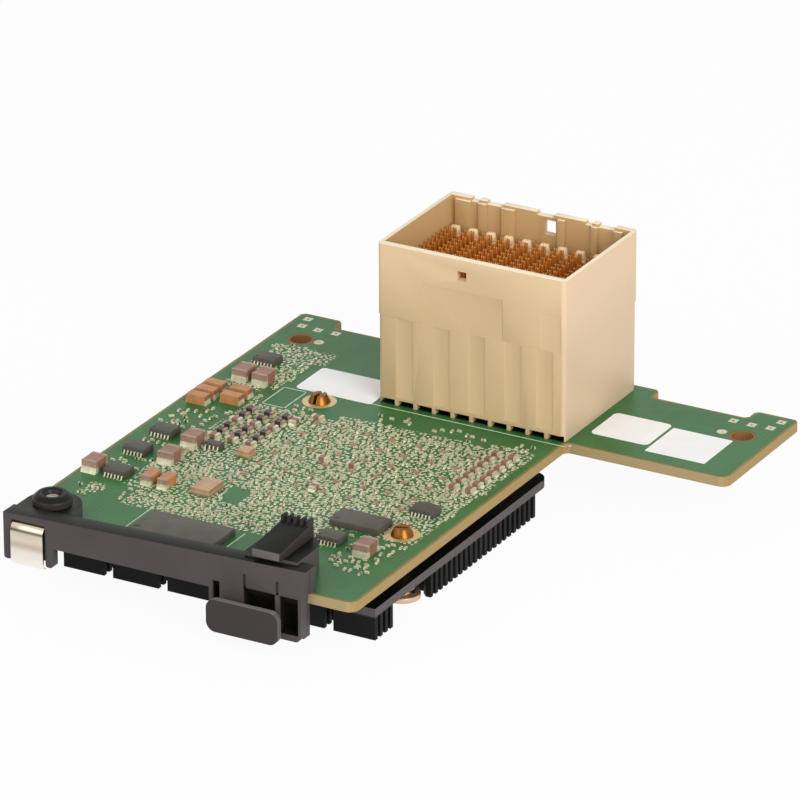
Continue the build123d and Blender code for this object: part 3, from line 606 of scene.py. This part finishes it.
def out_of_edit():
    """Back to object mode."""
    bpy.ops.object.mode_set(mode="OBJECT")


def choose_faces(piece, test):
    """Selects the faces whose centre and normal pass the test, and leaves the piece in edit mode."""
    if bpy.context.mode == "EDIT_MESH":
        out_of_edit()
    pick_only(piece)
    bpy.ops.object.mode_set(mode="EDIT")
    bpy.ops.mesh.select_mode(type="FACE")
    bpy.ops.mesh.select_all(action="DESELECT")
    out_of_edit()
    for face in piece.data.polygons:
        face.select = test(face.center, face.normal)
    bpy.ops.object.mode_set(mode="EDIT")


print("editing helpers ready")

# %% [markdown]
# Shaping has a few moves that come again and again: a block to start from, a top that is drawn in as a
# mould needs it, a sheet that gets its thickness, and modifiers that are set and applied at once. The
# rounds and the cuts below are such modifiers.

# %% Helpers for shaping
def block(name, size, middle):
    """A block of a size in millimetres, with its middle at a point of the scene."""
    clear_selection()
    bpy.ops.mesh.primitive_cube_add(size=1, location=middle)
    piece = bpy.context.object
    piece.name = name
    piece.scale = [value * mm for value in size]
    settle(piece)
    return piece


def draw_in(piece, share_x, share_y):
    """Makes the piece's top face smaller than its foot."""
    choose_faces(piece, lambda centre, normal: normal.z > 0.9)
    bpy.ops.transform.resize(value=(share_x, share_y, 1))
    out_of_edit()


def thicken(rise):
    """The sheet that is open in edit mode gets a thickness in millimetres, and edit mode ends."""
    bpy.ops.mesh.select_all(action="SELECT")
    bpy.ops.mesh.extrude_region_move(TRANSFORM_OT_translate={"value": (0, 0, rise * mm)})
    bpy.ops.mesh.select_all(action="SELECT")
    bpy.ops.mesh.normals_make_consistent(inside=False)
    out_of_edit()


def apply_modifier(piece, kind, **settings):
    """Adds a modifier to the piece, sets it and applies it."""
    pick_only(piece)
    modifier = piece.modifiers.new(kind.lower(), kind)
    for key, value in settings.items():
        setattr(modifier, key, value)
    bpy.ops.object.modifier_apply(modifier=modifier.name)


def soften(piece, width, segments=2):
    """Rounds the piece's sharp edges by a width in millimetres."""
    sharp, smooth = math.radians(35), math.radians(25)
    apply_modifier(
        piece, "BEVEL", width=width * mm, segments=segments, limit_method="ANGLE", angle_limit=sharp
    )
    bpy.ops.object.shade_smooth_by_angle(angle=smooth)


def carve(piece, cutter):
    """Takes the cutter out of the piece and removes it."""
    apply_modifier(piece, "BOOLEAN", operation="DIFFERENCE", object=cutter)
    bpy.data.objects.remove(cutter)


print("shaping helpers ready")

# %% [markdown]
# Every new piece is handed to the frame in the same way: it gets its finish, rides on the card's one
# body and hides the solids it stands for. A copy of a solid has its loose triangles merged first, and
# parts that belong together are joined.

# %% Helpers for handing pieces over
merge_distance = 0.002 * mm
flat_angle = math.radians(0.8)


def enlist(piece, finish, slot, *nodes):
    """The piece gets its finish, rides on the card and stands for the nodes that are named."""
    if not piece.data.materials:
        piece.data.materials.append(finish)
    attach(piece, "root")
    if nodes:
        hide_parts(*nodes)
    return piece


def merged_copy(node, name):
    """A copy of a solid with its loose triangles merged into whole faces."""
    piece = bpy.data.objects.new(name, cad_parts[node].data.copy())
    bpy.context.collection.objects.link(piece)
    piece.data.materials.clear()
    in_edit(piece)
    bpy.ops.mesh.customdata_custom_splitnormals_clear()
    bpy.ops.mesh.remove_doubles(threshold=merge_distance)
    bpy.ops.mesh.dissolve_limited(angle_limit=flat_angle)
    out_of_edit()
    return piece


def join_as(name, parts):
    """Several parts become one piece."""
    clear_selection()
    for part in parts:
        part.select_set(True)
    bpy.context.view_layer.objects.active = parts[-1]
    bpy.ops.object.join()
    piece = bpy.context.object
    piece.name = name
    settle(piece)
    return piece


def lay_out(model, name, places, slot, *nodes):
    """Copies of a model at places given as a point and a turn about Z, joined into one piece."""
    twins = []
    for point, turn in places:
        twin = bpy.data.objects.new(name, model.data.copy())
        bpy.context.collection.objects.link(twin)
        twin.matrix_world = Matrix.Translation(point) @ Matrix.Rotation(turn, 4, "Z")
        twins.append(twin)
    bpy.data.objects.remove(model)
    return enlist(join_as(name, twins), None, slot, *nodes)


print("hand-over helpers ready")

# %% [markdown]
# No moulded or stamped edge is perfectly sharp, and it is the small rounds that catch the light. Each
# measured solid below is copied, merged, and given rounds as wide as its stuff would have: broad on the
# black moulding, narrow on the connector with its shallow reliefs. The front push pin is then turned,
# because its slot doesn't show in the picture.

# %% Rounded copies of the solids
small_chips = [f"small_chip_{n:02d}" for n in range(1, 7)]
wafers = [f"contact_wafer_{n:02d}" for n in range(1, 11)]
contact_rows = [f"contact_row_{n:02d}" for n in range(1, 11)]
rounded_kinds = (
    (["connector_housing"], 0.1, beige_moulding, "connector_beige"),
    (["front_bracket"], 0.16, black_moulding, "bracket_black"),
    (["bracket_rivet_left"], 0.3, rivet_black, "bracket_black"),
    (["bracket_rivet_right"], 0.1, rivet_black, "bracket_black"),
    (["spring_clip"], 0.06, clip_plating, "clip_chrome"),
    (["push_pin_front", "push_pin_rear"], 0.12, pin_brass, "pin_brass"),
    (wafers, 0.08, wafer_moulding, "connector_beige"),
    (["memory_chip", "logic_chip"] + small_chips, 0.07, chip_epoxy, "chip_black"),
    (["crystal_small", "crystal_large"], 0.08, crystal_lid, "crystal_gold"),
    (["controller_chip"], 0.1, chip_epoxy, "chip_black"),
)
rounded = {}
for nodes, width, finish, slot in rounded_kinds:
    for node in nodes:
        rounded[node] = merged_copy(node, f"{node}_rounded")
        soften(rounded[node], width, segments=3 if width > 0.15 else 2)
        enlist(rounded[node], finish, slot, node)
pin_turn = math.radians(60)
pin_axis = sum(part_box("push_pin_front"), Vector()) / 2
in_edit(rounded["push_pin_front"])
bpy.ops.transform.rotate(value=pin_turn, orient_axis="Z", center_override=pin_axis)
out_of_edit()
print("rounded copies:", len(rounded))

# %% [markdown]
# The picture shows one more cross cut in the fins, near their left end. A cutter a little longer than
# the heat sink takes it out of a copy with a Boolean modifier, up to the plate and a hair into it.

# %% One more cross cut in the fins
fin_height = 3.65
cut_width = 1.5
cut_from_middle = -18.6
cut_into_plate = 0.02
cut_overrun = 1
sink_low, sink_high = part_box("heat_sink")
cut_middle = (sink_low + sink_high) / 2 + Vector((cut_from_middle * mm, 0, 0))
cut_middle.z = sink_low.z
cut_length = (sink_high.y - sink_low.y) / mm + 2 * cut_overrun
cut_sink = merged_copy("heat_sink", "heat_sink_cut")
cut_height = 2 * (fin_height + cut_into_plate)
carve(cut_sink, block("cutter", (cut_width, cut_length, cut_height), cut_middle))
enlist(cut_sink, black_anodised, "sink_black", "heat_sink")
print("faces of the heat sink:", len(cut_sink.data.polygons))

# %% [markdown]
# A chip carries a small round dimple beside its first pin. It is moulded into the epoxy, so a short
# cylinder is taken away from the top face with a Boolean modifier.

# %% Dimples beside the first pins
dimple_radii = {"memory_chip": 0.45, "logic_chip": 0.4} | dict.fromkeys(small_chips, 0.26)
dimple_depth = 0.08
radii_from_side = 2.2
for node, radius in dimple_radii.items():
    low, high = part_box(node)
    inset = radii_from_side * radius * mm
    place = (low.x + inset, low.y + inset, high.z)
    clear_selection()
    bpy.ops.mesh.primitive_cylinder_add(
        vertices=24, radius=radius * mm, depth=2 * dimple_depth * mm, location=place
    )
    carve(rounded[node], bpy.context.object)
print("dimples:", len(dimple_radii))

# %% [markdown]
# The other solids are right as they are and only need their finish: the laminate, the contact blades
# and the pad between chip and heat sink.

# %% Finishes for the solids that stay
kept_nodes = {"circuit_board": laminate, "thermal_pad": grey_pad}
kept_nodes |= dict.fromkeys(contact_rows, contact_plating)
for node, finish in kept_nodes.items():
    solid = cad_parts[node]
    solid.data.materials.clear()
    solid.data.materials.append(finish)
print("solids with a new finish:", len(kept_nodes))

# %% [markdown]
# The green lacquer stops half a millimetre short of the board's edge and of every hole. It is made from
# the board itself: the top face is kept, inset by that margin, its rim deleted, and the rest raised by
# the lacquer's thickness. Drawing the outline again would only repeat the board's sizes.

# %% Solder mask
mask_margin = 0.5
mask_thickness = 0.03


def solder_mask(name, side, finish):
    """Lacquer on the board's top face, side 1, or on its underside, side -1."""
    piece = merged_copy("circuit_board", name)
    choose_faces(piece, lambda centre, normal: normal.z * side < 0.9)
    bpy.ops.mesh.delete(type="FACE")
    bpy.ops.mesh.select_all(action="SELECT")
    bpy.ops.mesh.inset(thickness=mask_margin * mm, use_boundary=True)
    bpy.ops.mesh.select_all(action="INVERT")
    bpy.ops.mesh.delete(type="FACE")
    thicken(side * mask_thickness)
    return enlist(piece, finish, "board_green")


top_mask = solder_mask("solder_mask_top", 1, top_mask_finish)
under_mask = solder_mask("solder_mask_under", -1, under_mask_finish)
print("mask faces:", len(top_mask.data.polygons), len(under_mask.data.polygons))

# %% [markdown]
# Capacitors and resistors come as many solids in a few nodes. Each solid's box says where one part
# sits and which way it lies, so the boxes are read by splitting a merged copy into its loose pieces.

# %% Boxes of the parts in a node
def boxes_in(node):
    """The lowest and highest corner of each loose piece of a node."""
    in_edit(merged_copy(node, "to_split"))
    bpy.ops.mesh.separate(type="LOOSE")
    out_of_edit()
    found = []
    for part in list(bpy.context.selected_objects):
        found.append((Vector(part.bound_box[0]), Vector(part.bound_box[6])))
        bpy.data.objects.remove(part)
    return sorted(found, key=lambda box: (box[0].x, box[0].y))


def place_of(box):
    """The middle of a box's foot, and the turn of the part that lies along its longer side."""
    low, high = box
    middle = (low + high) / 2
    across = high.y - low.y > high.x - low.x
    return Vector((middle.x, middle.y, low.z)), math.pi / 2 if across else 0.0


many_solids = ("ceramic_capacitors", "tantalum_capacitors", "small_parts", "middle_parts")
part_boxes = {node: boxes_in(node) for node in many_solids}
print("parts:", {node: len(boxes) for node, boxes in part_boxes.items()})

# %% [markdown]
# A two-ended chip part is a brick with metal caps on two slopes of solder. It is modelled once for each
# size: a cube is cut across near both ends and at half height, the end bands are swelled a little and
# given the metal, their feet are pulled outwards as solder, and the edges are rounded. Copies then go
# to every place, each with its own mesh, and are joined into one piece for each kind.

# %% Two-ended chip parts
def chip_part(name, size, cap, body, ends=cap_plating, swell=0.03, rounding=0.05, solder=0.25):
    """A chip part along X at the origin, its size and end caps in millimetres, standing on z = 0."""
    length, height = size[0] * mm, size[2] * mm
    piece = block(name, size, (0, 0, height / 2))
    for finish in (body, ends, tinned):
        piece.data.materials.append(finish)
    cut = length / 2 - cap * mm
    for side in (-1, 1):
        in_edit(piece)
        bpy.ops.mesh.bisect(plane_co=(side * cut, 0, 0), plane_no=(1, 0, 0))
        out_of_edit()
    choose_faces(piece, lambda centre, normal: abs(centre.x) > cut)
    piece.active_material_index = 1
    bpy.ops.object.material_slot_assign()
    bpy.ops.mesh.extrude_region_shrink_fatten(TRANSFORM_OT_shrink_fatten={"value": swell * mm})
    bpy.ops.mesh.select_all(action="SELECT")
    bpy.ops.mesh.bisect(plane_co=(0, 0, height / 2), plane_no=(0, 0, 1))
    choose_faces(piece, lambda centre, normal: abs(centre.x) > cut and centre.z < height / 2)
    piece.active_material_index = 2
    bpy.ops.object.material_slot_assign()
    bpy.ops.mesh.select_mode(type="VERT")
    bpy.ops.mesh.select_all(action="DESELECT")
    out_of_edit()
    for vertex in piece.data.vertices:
        vertex.select = vertex.co.z < 0.1 * height and abs(vertex.co.x) > length / 2
    bpy.ops.object.mode_set(mode="EDIT")
    stretch = 1 + 2 * solder / size[0]
    bpy.ops.transform.resize(value=(stretch, 1, 1), center_override=(0, 0, 0))
    out_of_edit()
    if rounding:
        soften(piece, rounding, segments=1)
    return piece


print("caps are plated with", cap_plating.name)

# %% [markdown]
# The small chips stand on gull-wing leads, thin strips bent twice. One is made from a foot: the end face
# that looks at the chip is extruded up the slope and then level into the body. A row goes along the
# front and the back of every chip, closer than the plain ones of the measured model.

# %% Chip leads
lead_width, foot_length, lead_thickness = 0.24, 0.3, 0.1
lead_bends = ((0, 0.16, 0.46), (0, 0.34, 0))


def bent_lead(name):
    """A lead along Y with its foot at the origin and its shoulder towards positive Y."""
    foot_middle = (0, foot_length * mm / 2, lead_thickness * mm / 2)
    lead = block(name, (lead_width, foot_length, lead_thickness), foot_middle)
    lead.data.materials.append(tinned)
    for bend in lead_bends:
        tip = max(face.center.y for face in lead.data.polygons)
        choose_faces(lead, lambda centre, normal: centre.y > tip - 0.001 * mm)
        move = [value * mm for value in bend]
        bpy.ops.mesh.extrude_region_move(TRANSFORM_OT_translate={"value": move})
        out_of_edit()
    soften(lead, 0.03, segments=1)
    return lead


leads_per_side = 6
lead_stride = 0.58 * mm
lead_reach = 0.55 * mm
dark_low, dark_high = spot(12.5, 36.7), spot(15.3, 38.2, 1.0)
dark_lead_shifts = (0.35, 1.05, 1.75, 2.45)
lead_places = []
for node in small_chips:
    low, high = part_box(node)
    for n in range(leads_per_side):
        x = (low.x + high.x) / 2 + (n - (leads_per_side - 1) / 2) * lead_stride
        lead_places.append((Vector((x, low.y - lead_reach, board_high.z)), 0.0))
        lead_places.append((Vector((x, high.y + lead_reach, board_high.z)), math.pi))
for shift in dark_lead_shifts:
    foot = Vector((dark_low.x + shift * mm, dark_low.y - lead_reach, board_high.z))
    lead_places.append((foot, 0.0))
lay_out(bent_lead("lead_model"), "bent_leads", lead_places, "tinned_metal", "chip_leads")
print("leads:", len(lead_places))

# %% [markdown]
# One more small dark part sits left of the crystals, on the last four leads. Its body is a cube that
# starts just above the board, with its top drawn in as a mould needs it and its edges rounded.

# %% Dark part on four leads
dark_gap = 0.1
dark_size = [value / mm for value in dark_high - dark_low]
dark_size[2] -= 2 * dark_gap
dark_part = block("dark_part", dark_size, (dark_low + dark_high) / 2)
draw_in(dark_part, 0.92, 0.86)
soften(dark_part, 0.06)
enlist(dark_part, chip_epoxy, "chip_black")
print("dark part, mm:", [round(size / mm, 2) for size in dark_part.dimensions])

# %% [markdown]
# Three kinds of larger capacitors stand mostly at the left of the board. The ceramic ones have wide
# plated caps, the moulded ones show only a narrow end, and two tan blocks have caps of half a millimetre.

# %% Capacitors
low, high = part_boxes["ceramic_capacitors"][0]
ceramic_cap = 0.6
ceramic_height = 1.9
ceramic_size = ((high.y - low.y) / mm + 2 * ceramic_cap, (high.x - low.x) / mm, ceramic_height)
ceramic = chip_part("ceramic_model", ceramic_size, ceramic_cap, ceramic_brown, rounding=0.14, solder=0.4)
ceramic_places = [(place_of(box)[0], math.pi / 2) for box in part_boxes["ceramic_capacitors"]]
lay_out(
    ceramic, "ceramic_blocks", ceramic_places, "ceramic_brown", "ceramic_capacitors", "ceramic_terminals"
)
tantalum_size = (3.2, 1.7, 1.5)
tantalum_places = [place_of(box) for box in part_boxes["tantalum_capacitors"]]
along_places = [place for place in tantalum_places if place[1] == 0]
across_places = [place for place in tantalum_places if place[1] != 0]
moulded = chip_part(
    "moulded_model", tantalum_size, 0.08, tantalum_orange, tantalum_end,
    swell=0.01, rounding=0.14, solder=0.15,
)
lay_out(moulded, "moulded_blocks", along_places, "tantalum_orange", "tantalum_capacitors")
tan_block = chip_part(
    "tan_block_model", tantalum_size, 0.5, tantalum_orange, rounding=0.14, solder=0.35
)
lay_out(tan_block, "tan_blocks", across_places, "tantalum_orange", "tantalum_terminals")
counts = {"ceramic": ceramic_places, "moulded": along_places, "tan": across_places}
print("capacitors:", {kind: len(places) for kind, places in counts.items()})

# %% [markdown]
# Hundreds of parts the size of a grain of sand crowd the board over the big chip. None may stand in
# another, so a list keeps the rectangles that are taken. It starts with the places that the picture has
# bare or printed, and goes on with everything laid before.

# %% Room on the board
taken = [
    (12.6, 61.6, 27.4, 71.8), (11.2, 54.4, 16.6, 62.6), (16.2, 6, 17.6, 15.6),
    (24.2, 22.4, 26, 26), (25.4, 21, 27.4, 23.6),
]


def take(low, high, margin):
    """Marks a rectangle of the board, given by two scene points, as taken."""
    left, front, _ = board_mm(low)
    right, back, _ = board_mm(high)
    taken.append((left - margin, front - margin, right + margin, back + margin))


def is_free(x, y, half_x, half_y):
    """Whether a part of that half size fits at x and y."""
    for left, front, right, back in taken:
        if left < x + half_x and x - half_x < right and front < y + half_y and y - half_y < back:
            return False
    return True


large_parts = ["connector_housing", "memory_chip", "logic_chip", "crystal_small", "crystal_large"]
margins = dict.fromkeys(large_parts + small_chips, 0.85)
margins |= dict.fromkeys(("push_pin_front", "push_pin_rear"), 0.4)
margins |= dict.fromkeys(("bracket_rivet_left", "bracket_rivet_right"), 2.0)
for node, margin in margins.items():
    take(*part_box(node), margin)
for node in ("ceramic_capacitors", "tantalum_capacitors"):
    for box in part_boxes[node]:
        take(*box, margin=0.75)
take(dark_low, dark_high, margin=0.9)
print("taken rectangles:", len(taken))

# %% [markdown]
# Middle-sized parts stand in two groups where the frame has them, and a few more where the picture has
# single ones. The group at the right has brown bodies between bright ends. The left group is darker:
# two of three parts there are black resistors.

# %% Middle-sized parts
middle_size = (1.8, 1.05, 0.75)
middle_reach = (1.3, 0.8)
right_group = 40
measured = [place_of(box) for box in part_boxes["middle_parts"]]
single_ones = ((30.5, 41.0, 0), (22.4, 53.6, 0), (35.6, 41.0, 0), (20.0, 50.8, 90), (34.5, 31.5, 90))
brown_places, dark_places = [], []
for number, place in enumerate(measured):
    is_brown = number % 3 == 0 or board_mm(place[0])[0] > right_group
    (brown_places if is_brown else dark_places).append(place)
brown_places += [(spot(x, y), math.radians(turn)) for x, y, turn in single_ones]
for point, turn in brown_places + dark_places:
    half_x, half_y = middle_reach if abs(turn) < 0.1 else reversed(middle_reach)
    reach = Vector((half_x, half_y, 0)) * mm
    take(point - reach, point + reach, margin=0.1)
middle_model = chip_part("middle_model", middle_size, 0.45, ceramic_brown, tinned, rounding=0.08)
dark_model = chip_part("dark_model", middle_size, 0.4, resistor_black, rounding=0.06)
lay_out(middle_model, "middle_blocks", brown_places, "small_part_cream", "middle_parts")
lay_out(dark_model, "dark_blocks", dark_places, "small_part_cream")
print("middle-sized parts:", len(brown_places), "brown and", len(dark_places), "dark")

# %% [markdown]
# The measured small parts stay where the frame has them, and smaller ones are strewn between them with
# a fixed seed. Each zone gets a number of tries, a try near a zone's edge often fails so that the crowd
# thins out there, and a place is kept only if it is still free.

# %% Places for small parts
small_places = []
for box in part_boxes["small_parts"]:
    point, turn = place_of(box)
    if is_free(*board_mm(point)[:2], 0.2, 0.2):
        small_places.append((point, turn))
for point, turn in small_places:
    take(point, point, margin=0.6)
tiny_reach = (0.46, 0.24)
tiny_step = 0.3
fade = 2.4
kinds = ("cream",) * 8 + ("tan", "tan", "black")
strewn = {kind: [] for kind in ("cream", "tan", "black")}
strew_zones = (
    (20, 19, 57.5, 57, 1700), (9, 33, 22, 58, 420), (10.5, 13.5, 44, 20, 310), (3, 13, 8.5, 19, 24),
    (9.5, 60, 13, 76, 110), (1.5, 30, 9, 50, 90), (8, 20, 20, 34, 400), (1.5, 57, 10, 77, 110),
    (1.2, 20, 9, 30, 70), (28, 57, 57, 60.5, 60), (40, 14, 56, 20, 90), (46.5, 8.5, 56.5, 15.5, 120),
)
dice = random.Random(11)
for left, front, right, back, tries in strew_zones:
    for _ in range(tries):
        x = round(dice.uniform(left, right) / tiny_step) * tiny_step
        y = round(dice.uniform(front, back) / tiny_step) * tiny_step
        turn = dice.choice((0, 90))
        half_x, half_y = tiny_reach if turn == 0 else reversed(tiny_reach)
        to_edge = min(x - left, right - x, y - front, back - y)
        if dice.random() * fade < to_edge and is_free(x, y, half_x, half_y):
            taken.append((x - half_x, y - half_y, x + half_x, y + half_y))
            strewn[dice.choice(kinds)].append((spot(x, y), math.radians(turn)))
print("small places:", len(small_places), "measured and", {kind: len(strewn[kind]) for kind in strewn})

# %% [markdown]
# The small parts are the same two-ended kind. The strewn ones are left without rounds, because they are
# only a few pixels wide and there are hundreds of them.

# %% Small parts
small_model = chip_part("small_model", (1.0, 0.5, 0.4), 0.3, ceramic_tan, rounding=0.04)
lay_out(small_model, "small_blocks", small_places, "small_part_cream", "small_parts")
tiny_size = (0.62, 0.32, 0.32)
tiny_kinds = {"tan": (ceramic_tan, 0.2), "black": (resistor_black, 0.16), "cream": (ceramic_cream, 0.22)}
for kind, (body, cap) in tiny_kinds.items():
    tiny = chip_part(
        f"tiny_{kind}_model", tiny_size, cap, body, tinned, swell=0.015, rounding=0, solder=0.1
    )
    lay_out(tiny, f"tiny_{kind}_blocks", strewn[kind], "small_part_cream")
print("kinds of strewn parts:", len(tiny_kinds))

# %% [markdown]
# Each wafer carries more blades than the one measured row: two thinner and slightly taller rows stand
# on either side of it, blade beside blade, so that a wafer looks like a brush. One blade is a cube with
# its top drawn in, an Array modifier repeats it along the wafer, and the comb is copied to both sides.

# %% Side rows of contacts
blade_count = 14
side_blade = (0.17, 0.55)
taller = 1.12
measured_blade = 0.7
side_shifts = (-0.72, -0.38, 0.38, 0.72)
row_low, row_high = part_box("contact_row_01")
blade_step = (row_high.y - row_low.y - measured_blade * mm) / (blade_count - 1)
blade_height = taller * (row_high.z - row_low.z)
comb = block("comb_model", (*side_blade, blade_height / mm), (0, 0, blade_height / 2))
comb.data.materials.append(contact_plating)
draw_in(comb, 0.6, 0.6)
apply_modifier(
    comb, "ARRAY", count=blade_count, use_relative_offset=False, use_constant_offset=True,
    constant_offset_displace=(0, blade_step, 0),
)
comb_places = []
for node in contact_rows:
    low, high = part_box(node)
    for shift in side_shifts:
        x = (low.x + high.x) / 2 + shift * mm
        comb_places.append((Vector((x, low.y + measured_blade * mm / 2, low.z)), 0.0))
lay_out(comb, "side_contacts", comb_places, "contact_gold")
print("side rows:", len(comb_places))

# %% [markdown]
# A pale tip stands on the post behind each row of contacts. It is a block with its top drawn in and its
# edges rounded, made once and copied to every wafer.

# %% Tips of the wafer posts
tip_size = (1.5, 1.0, 1.3)
tip_from_back = 0.55
post_tip = block("post_tip_model", tip_size, (0, 0, tip_size[2] * mm / 2))
post_tip.data.materials.append(wafer_moulding)
draw_in(post_tip, 0.8, 0.8)
soften(post_tip, 0.1)
tip_places = []
for node in wafers:
    low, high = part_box(node)
    tip_places.append((Vector(((low.x + high.x) / 2, high.y - tip_from_back * mm, high.z)), 0.0))
lay_out(post_tip, "post_tips", tip_places, "connector_beige")
print("post tips:", len(tip_places))

# %% [markdown]
# The left rivet is a hollow black cap over a metal core, and the core is what shines in its dish. It is
# a short cylinder with a rounded edge, sunk a little into the dish's floor.

# %% Core of the left rivet
core_radius, core_depth, core_below_rim = 1.05 * mm, 0.4 * mm, 0.7 * mm
rivet_low, rivet_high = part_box("bracket_rivet_left")
core_middle = (rivet_low + rivet_high) / 2
core_middle.z = rivet_high.z - core_below_rim - core_depth / 2
clear_selection()
bpy.ops.mesh.primitive_cylinder_add(
    vertices=32, radius=core_radius, depth=core_depth, location=core_middle
)
core = bpy.context.object
core.name = "rivet_core"
settle(core)
soften(core, 0.08)
enlist(core, tinned, "tinned_metal")
print("rivet core, mm above the board:", round(board_mm(core_middle)[2], 2))

# %% [markdown]
# The coil springs between pin heads and plate are round wire. A small circle of wire section stands at
# the coil's radius, and a Screw modifier turns it up around the pin, which is how the coil is wound.

# %% Pin springs
wire = 0.22 * mm
wire_sides = 10
turns = 3
steps = 28
for side in ("front", "rear"):
    low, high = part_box(f"pin_spring_{side}")
    axis = (low + high) / 2
    clear_selection()
    bpy.ops.mesh.primitive_circle_add(vertices=wire_sides, radius=wire, rotation=(math.pi / 2, 0, 0))
    coil = bpy.context.object
    coil.name = f"pin_coil_{side}"
    coil.location = ((high.x - low.x) / 2 - wire, 0, 0)
    settle(coil)
    rise = (high.z - low.z - 2 * wire) / turns
    apply_modifier(coil, "SCREW", steps=steps, render_steps=steps, iterations=turns, screw_offset=rise)
    in_edit(coil)
    bpy.ops.mesh.normals_make_consistent(inside=False)
    out_of_edit()
    coil.location = (axis.x, axis.y, low.z + wire)
    settle(coil)
    bpy.ops.object.shade_smooth_by_angle(angle=math.radians(60))
    enlist(coil, spring_wire, "spring_steel", f"pin_spring_{side}")
print("turns of each spring:", turns)

# %% [markdown]
# Bare copper that is meant to be touched or soldered is left open in the mask and plated. Round gilt
# pads lie around the two push pins, and two small ones near the left edge. Square tinned ones sit beside
# the fixing holes, with round spots next to them. A disc is inset, its middle deleted and the ring
# raised, which gives a pad with a true hole.

# %% Gilt and tinned pads
pad_sunk = 0.01
pin_ring, ochre_ring, corner_ring, spot_ring = (1.5, 2.65), (0.22, 0.62), (0.45, 0.95), (0.12, 0.8)


def ring_pad(name, x, y, inner, outer, sides=40, turn=0.0, rise=0.03):
    """A flat ring on the mask, its radii in millimetres, round or with a few sides."""
    place = spot(x, y, mask_thickness - pad_sunk)
    clear_selection()
    bpy.ops.mesh.primitive_circle_add(
        vertices=sides, radius=outer * mm, fill_type="NGON", location=place, rotation=(0, 0, turn)
    )
    pad = bpy.context.object
    pad.name = name
    settle(pad)
    in_edit(pad)
    bpy.ops.mesh.inset(thickness=(outer - inner) * mm)
    bpy.ops.mesh.delete(type="FACE")
    thicken(rise)
    return pad


pin_places = [board_mm(sum(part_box(f"push_pin_{side}"), Vector()) / 2) for side in ("front", "rear")]
gilt_pads = [ring_pad(f"pin_pad_{n}", x, y, *pin_ring) for n, (x, y, _) in enumerate(pin_places)]
gilt_pads += [ring_pad("ochre_pad", x, y, *ochre_ring, sides=4) for x, y in ((2.3, 44.4), (3.4, 45.9))]
enlist(join_as("pin_pads", gilt_pads), pad_gilt, "pin_brass")
corner_pads = []
for x, y in ((2.0, 86.3), (2.5, 83.6), (5.5, 83.3), (8.6, 83.4)):
    for side_x in (x, board_width - x):
        corner_pads.append(ring_pad("corner_pad", side_x, y, *corner_ring, sides=4, turn=math.pi / 4))
enlist(join_as("corner_pads", corner_pads), tinned, "tinned_metal")
spot_places = ((8.0, 79.2), (77.7, 78.9))
solder_spots = [ring_pad("solder_spot", x, y, *spot_ring, sides=24, rise=0.05) for x, y in spot_places]
enlist(join_as("solder_spots", solder_spots), tinned, "tinned_metal")
print("pads:", len(gilt_pads), "gilt and", len(corner_pads) + len(solder_spots), "tinned")

# %% [markdown]
# A paper label lies beside the connector and two printed white patches on the ear. All are bare. Each is
# a plane with its corners rounded by a vertex bevel and then raised by the thickness of paper or ink.

# %% Label and patches
def flat_patch(name, left, front, right, back, corner, rise):
    """A thin sheet on the mask between two corners given in millimetres."""
    middle = (spot(left, front, mask_thickness) + spot(right, back, mask_thickness)) / 2
    clear_selection()
    bpy.ops.mesh.primitive_plane_add(size=1, location=middle)
    sheet = bpy.context.object
    sheet.name = name
    sheet.scale = ((right - left) * mm, (back - front) * mm, 1)
    settle(sheet)
    in_edit(sheet)
    if corner:
        bpy.ops.mesh.bevel(offset=corner * mm, segments=5, affect="VERTICES")
    thicken(rise)
    return sheet


label = flat_patch("paper_label", 13.4, 62.4, 26.6, 71.0, corner=0.7, rise=0.08)
enlist(label, white_paper, "small_part_cream")
patches = [flat_patch("patch_left", 60.5, 69.0, 70.2, 77.6, corner=0.9, rise=0.02)]
patches += [flat_patch("patch_right", 70.7, 67.2, 80.7, 76.7, corner=0.2, rise=0.02)]
enlist(join_as("printed_patches", patches), white_paper, "small_part_cream")
print("label, mm:", [round(size / mm, 2) for size in label.dimensions])

# %% [markdown]
# Printed ink marks where parts go: an empty rectangle beside the rear pin, a line along the connector
# and short bars beside the memory chip. Each stroke is a thin flat patch, and all become one piece.

# %% Printed lines
half_stroke = 0.1
lines = (
    (11.9, 55.0, 15.8, 55.0), (15.8, 55.0, 15.8, 61.8), (11.9, 61.8, 15.8, 61.8), (11.9, 55.0, 11.9, 61.8),
    (24.0, 62.7, 60.2, 62.7), (16.9, 6.6, 16.9, 15.0), (33.4, 8.0, 33.4, 13.0), (60.2, 62.7, 60.2, 63.6),
)
strokes = []
for left, front, right, back in lines:
    low_corner = (left - half_stroke, front - half_stroke)
    high_corner = (right + half_stroke, back + half_stroke)
    strokes.append(flat_patch("stroke", *low_corner, *high_corner, corner=0, rise=0.015))
enlist(join_as("printed_lines", strokes), white_ink, "small_part_cream")
print("printed lines:", len(lines))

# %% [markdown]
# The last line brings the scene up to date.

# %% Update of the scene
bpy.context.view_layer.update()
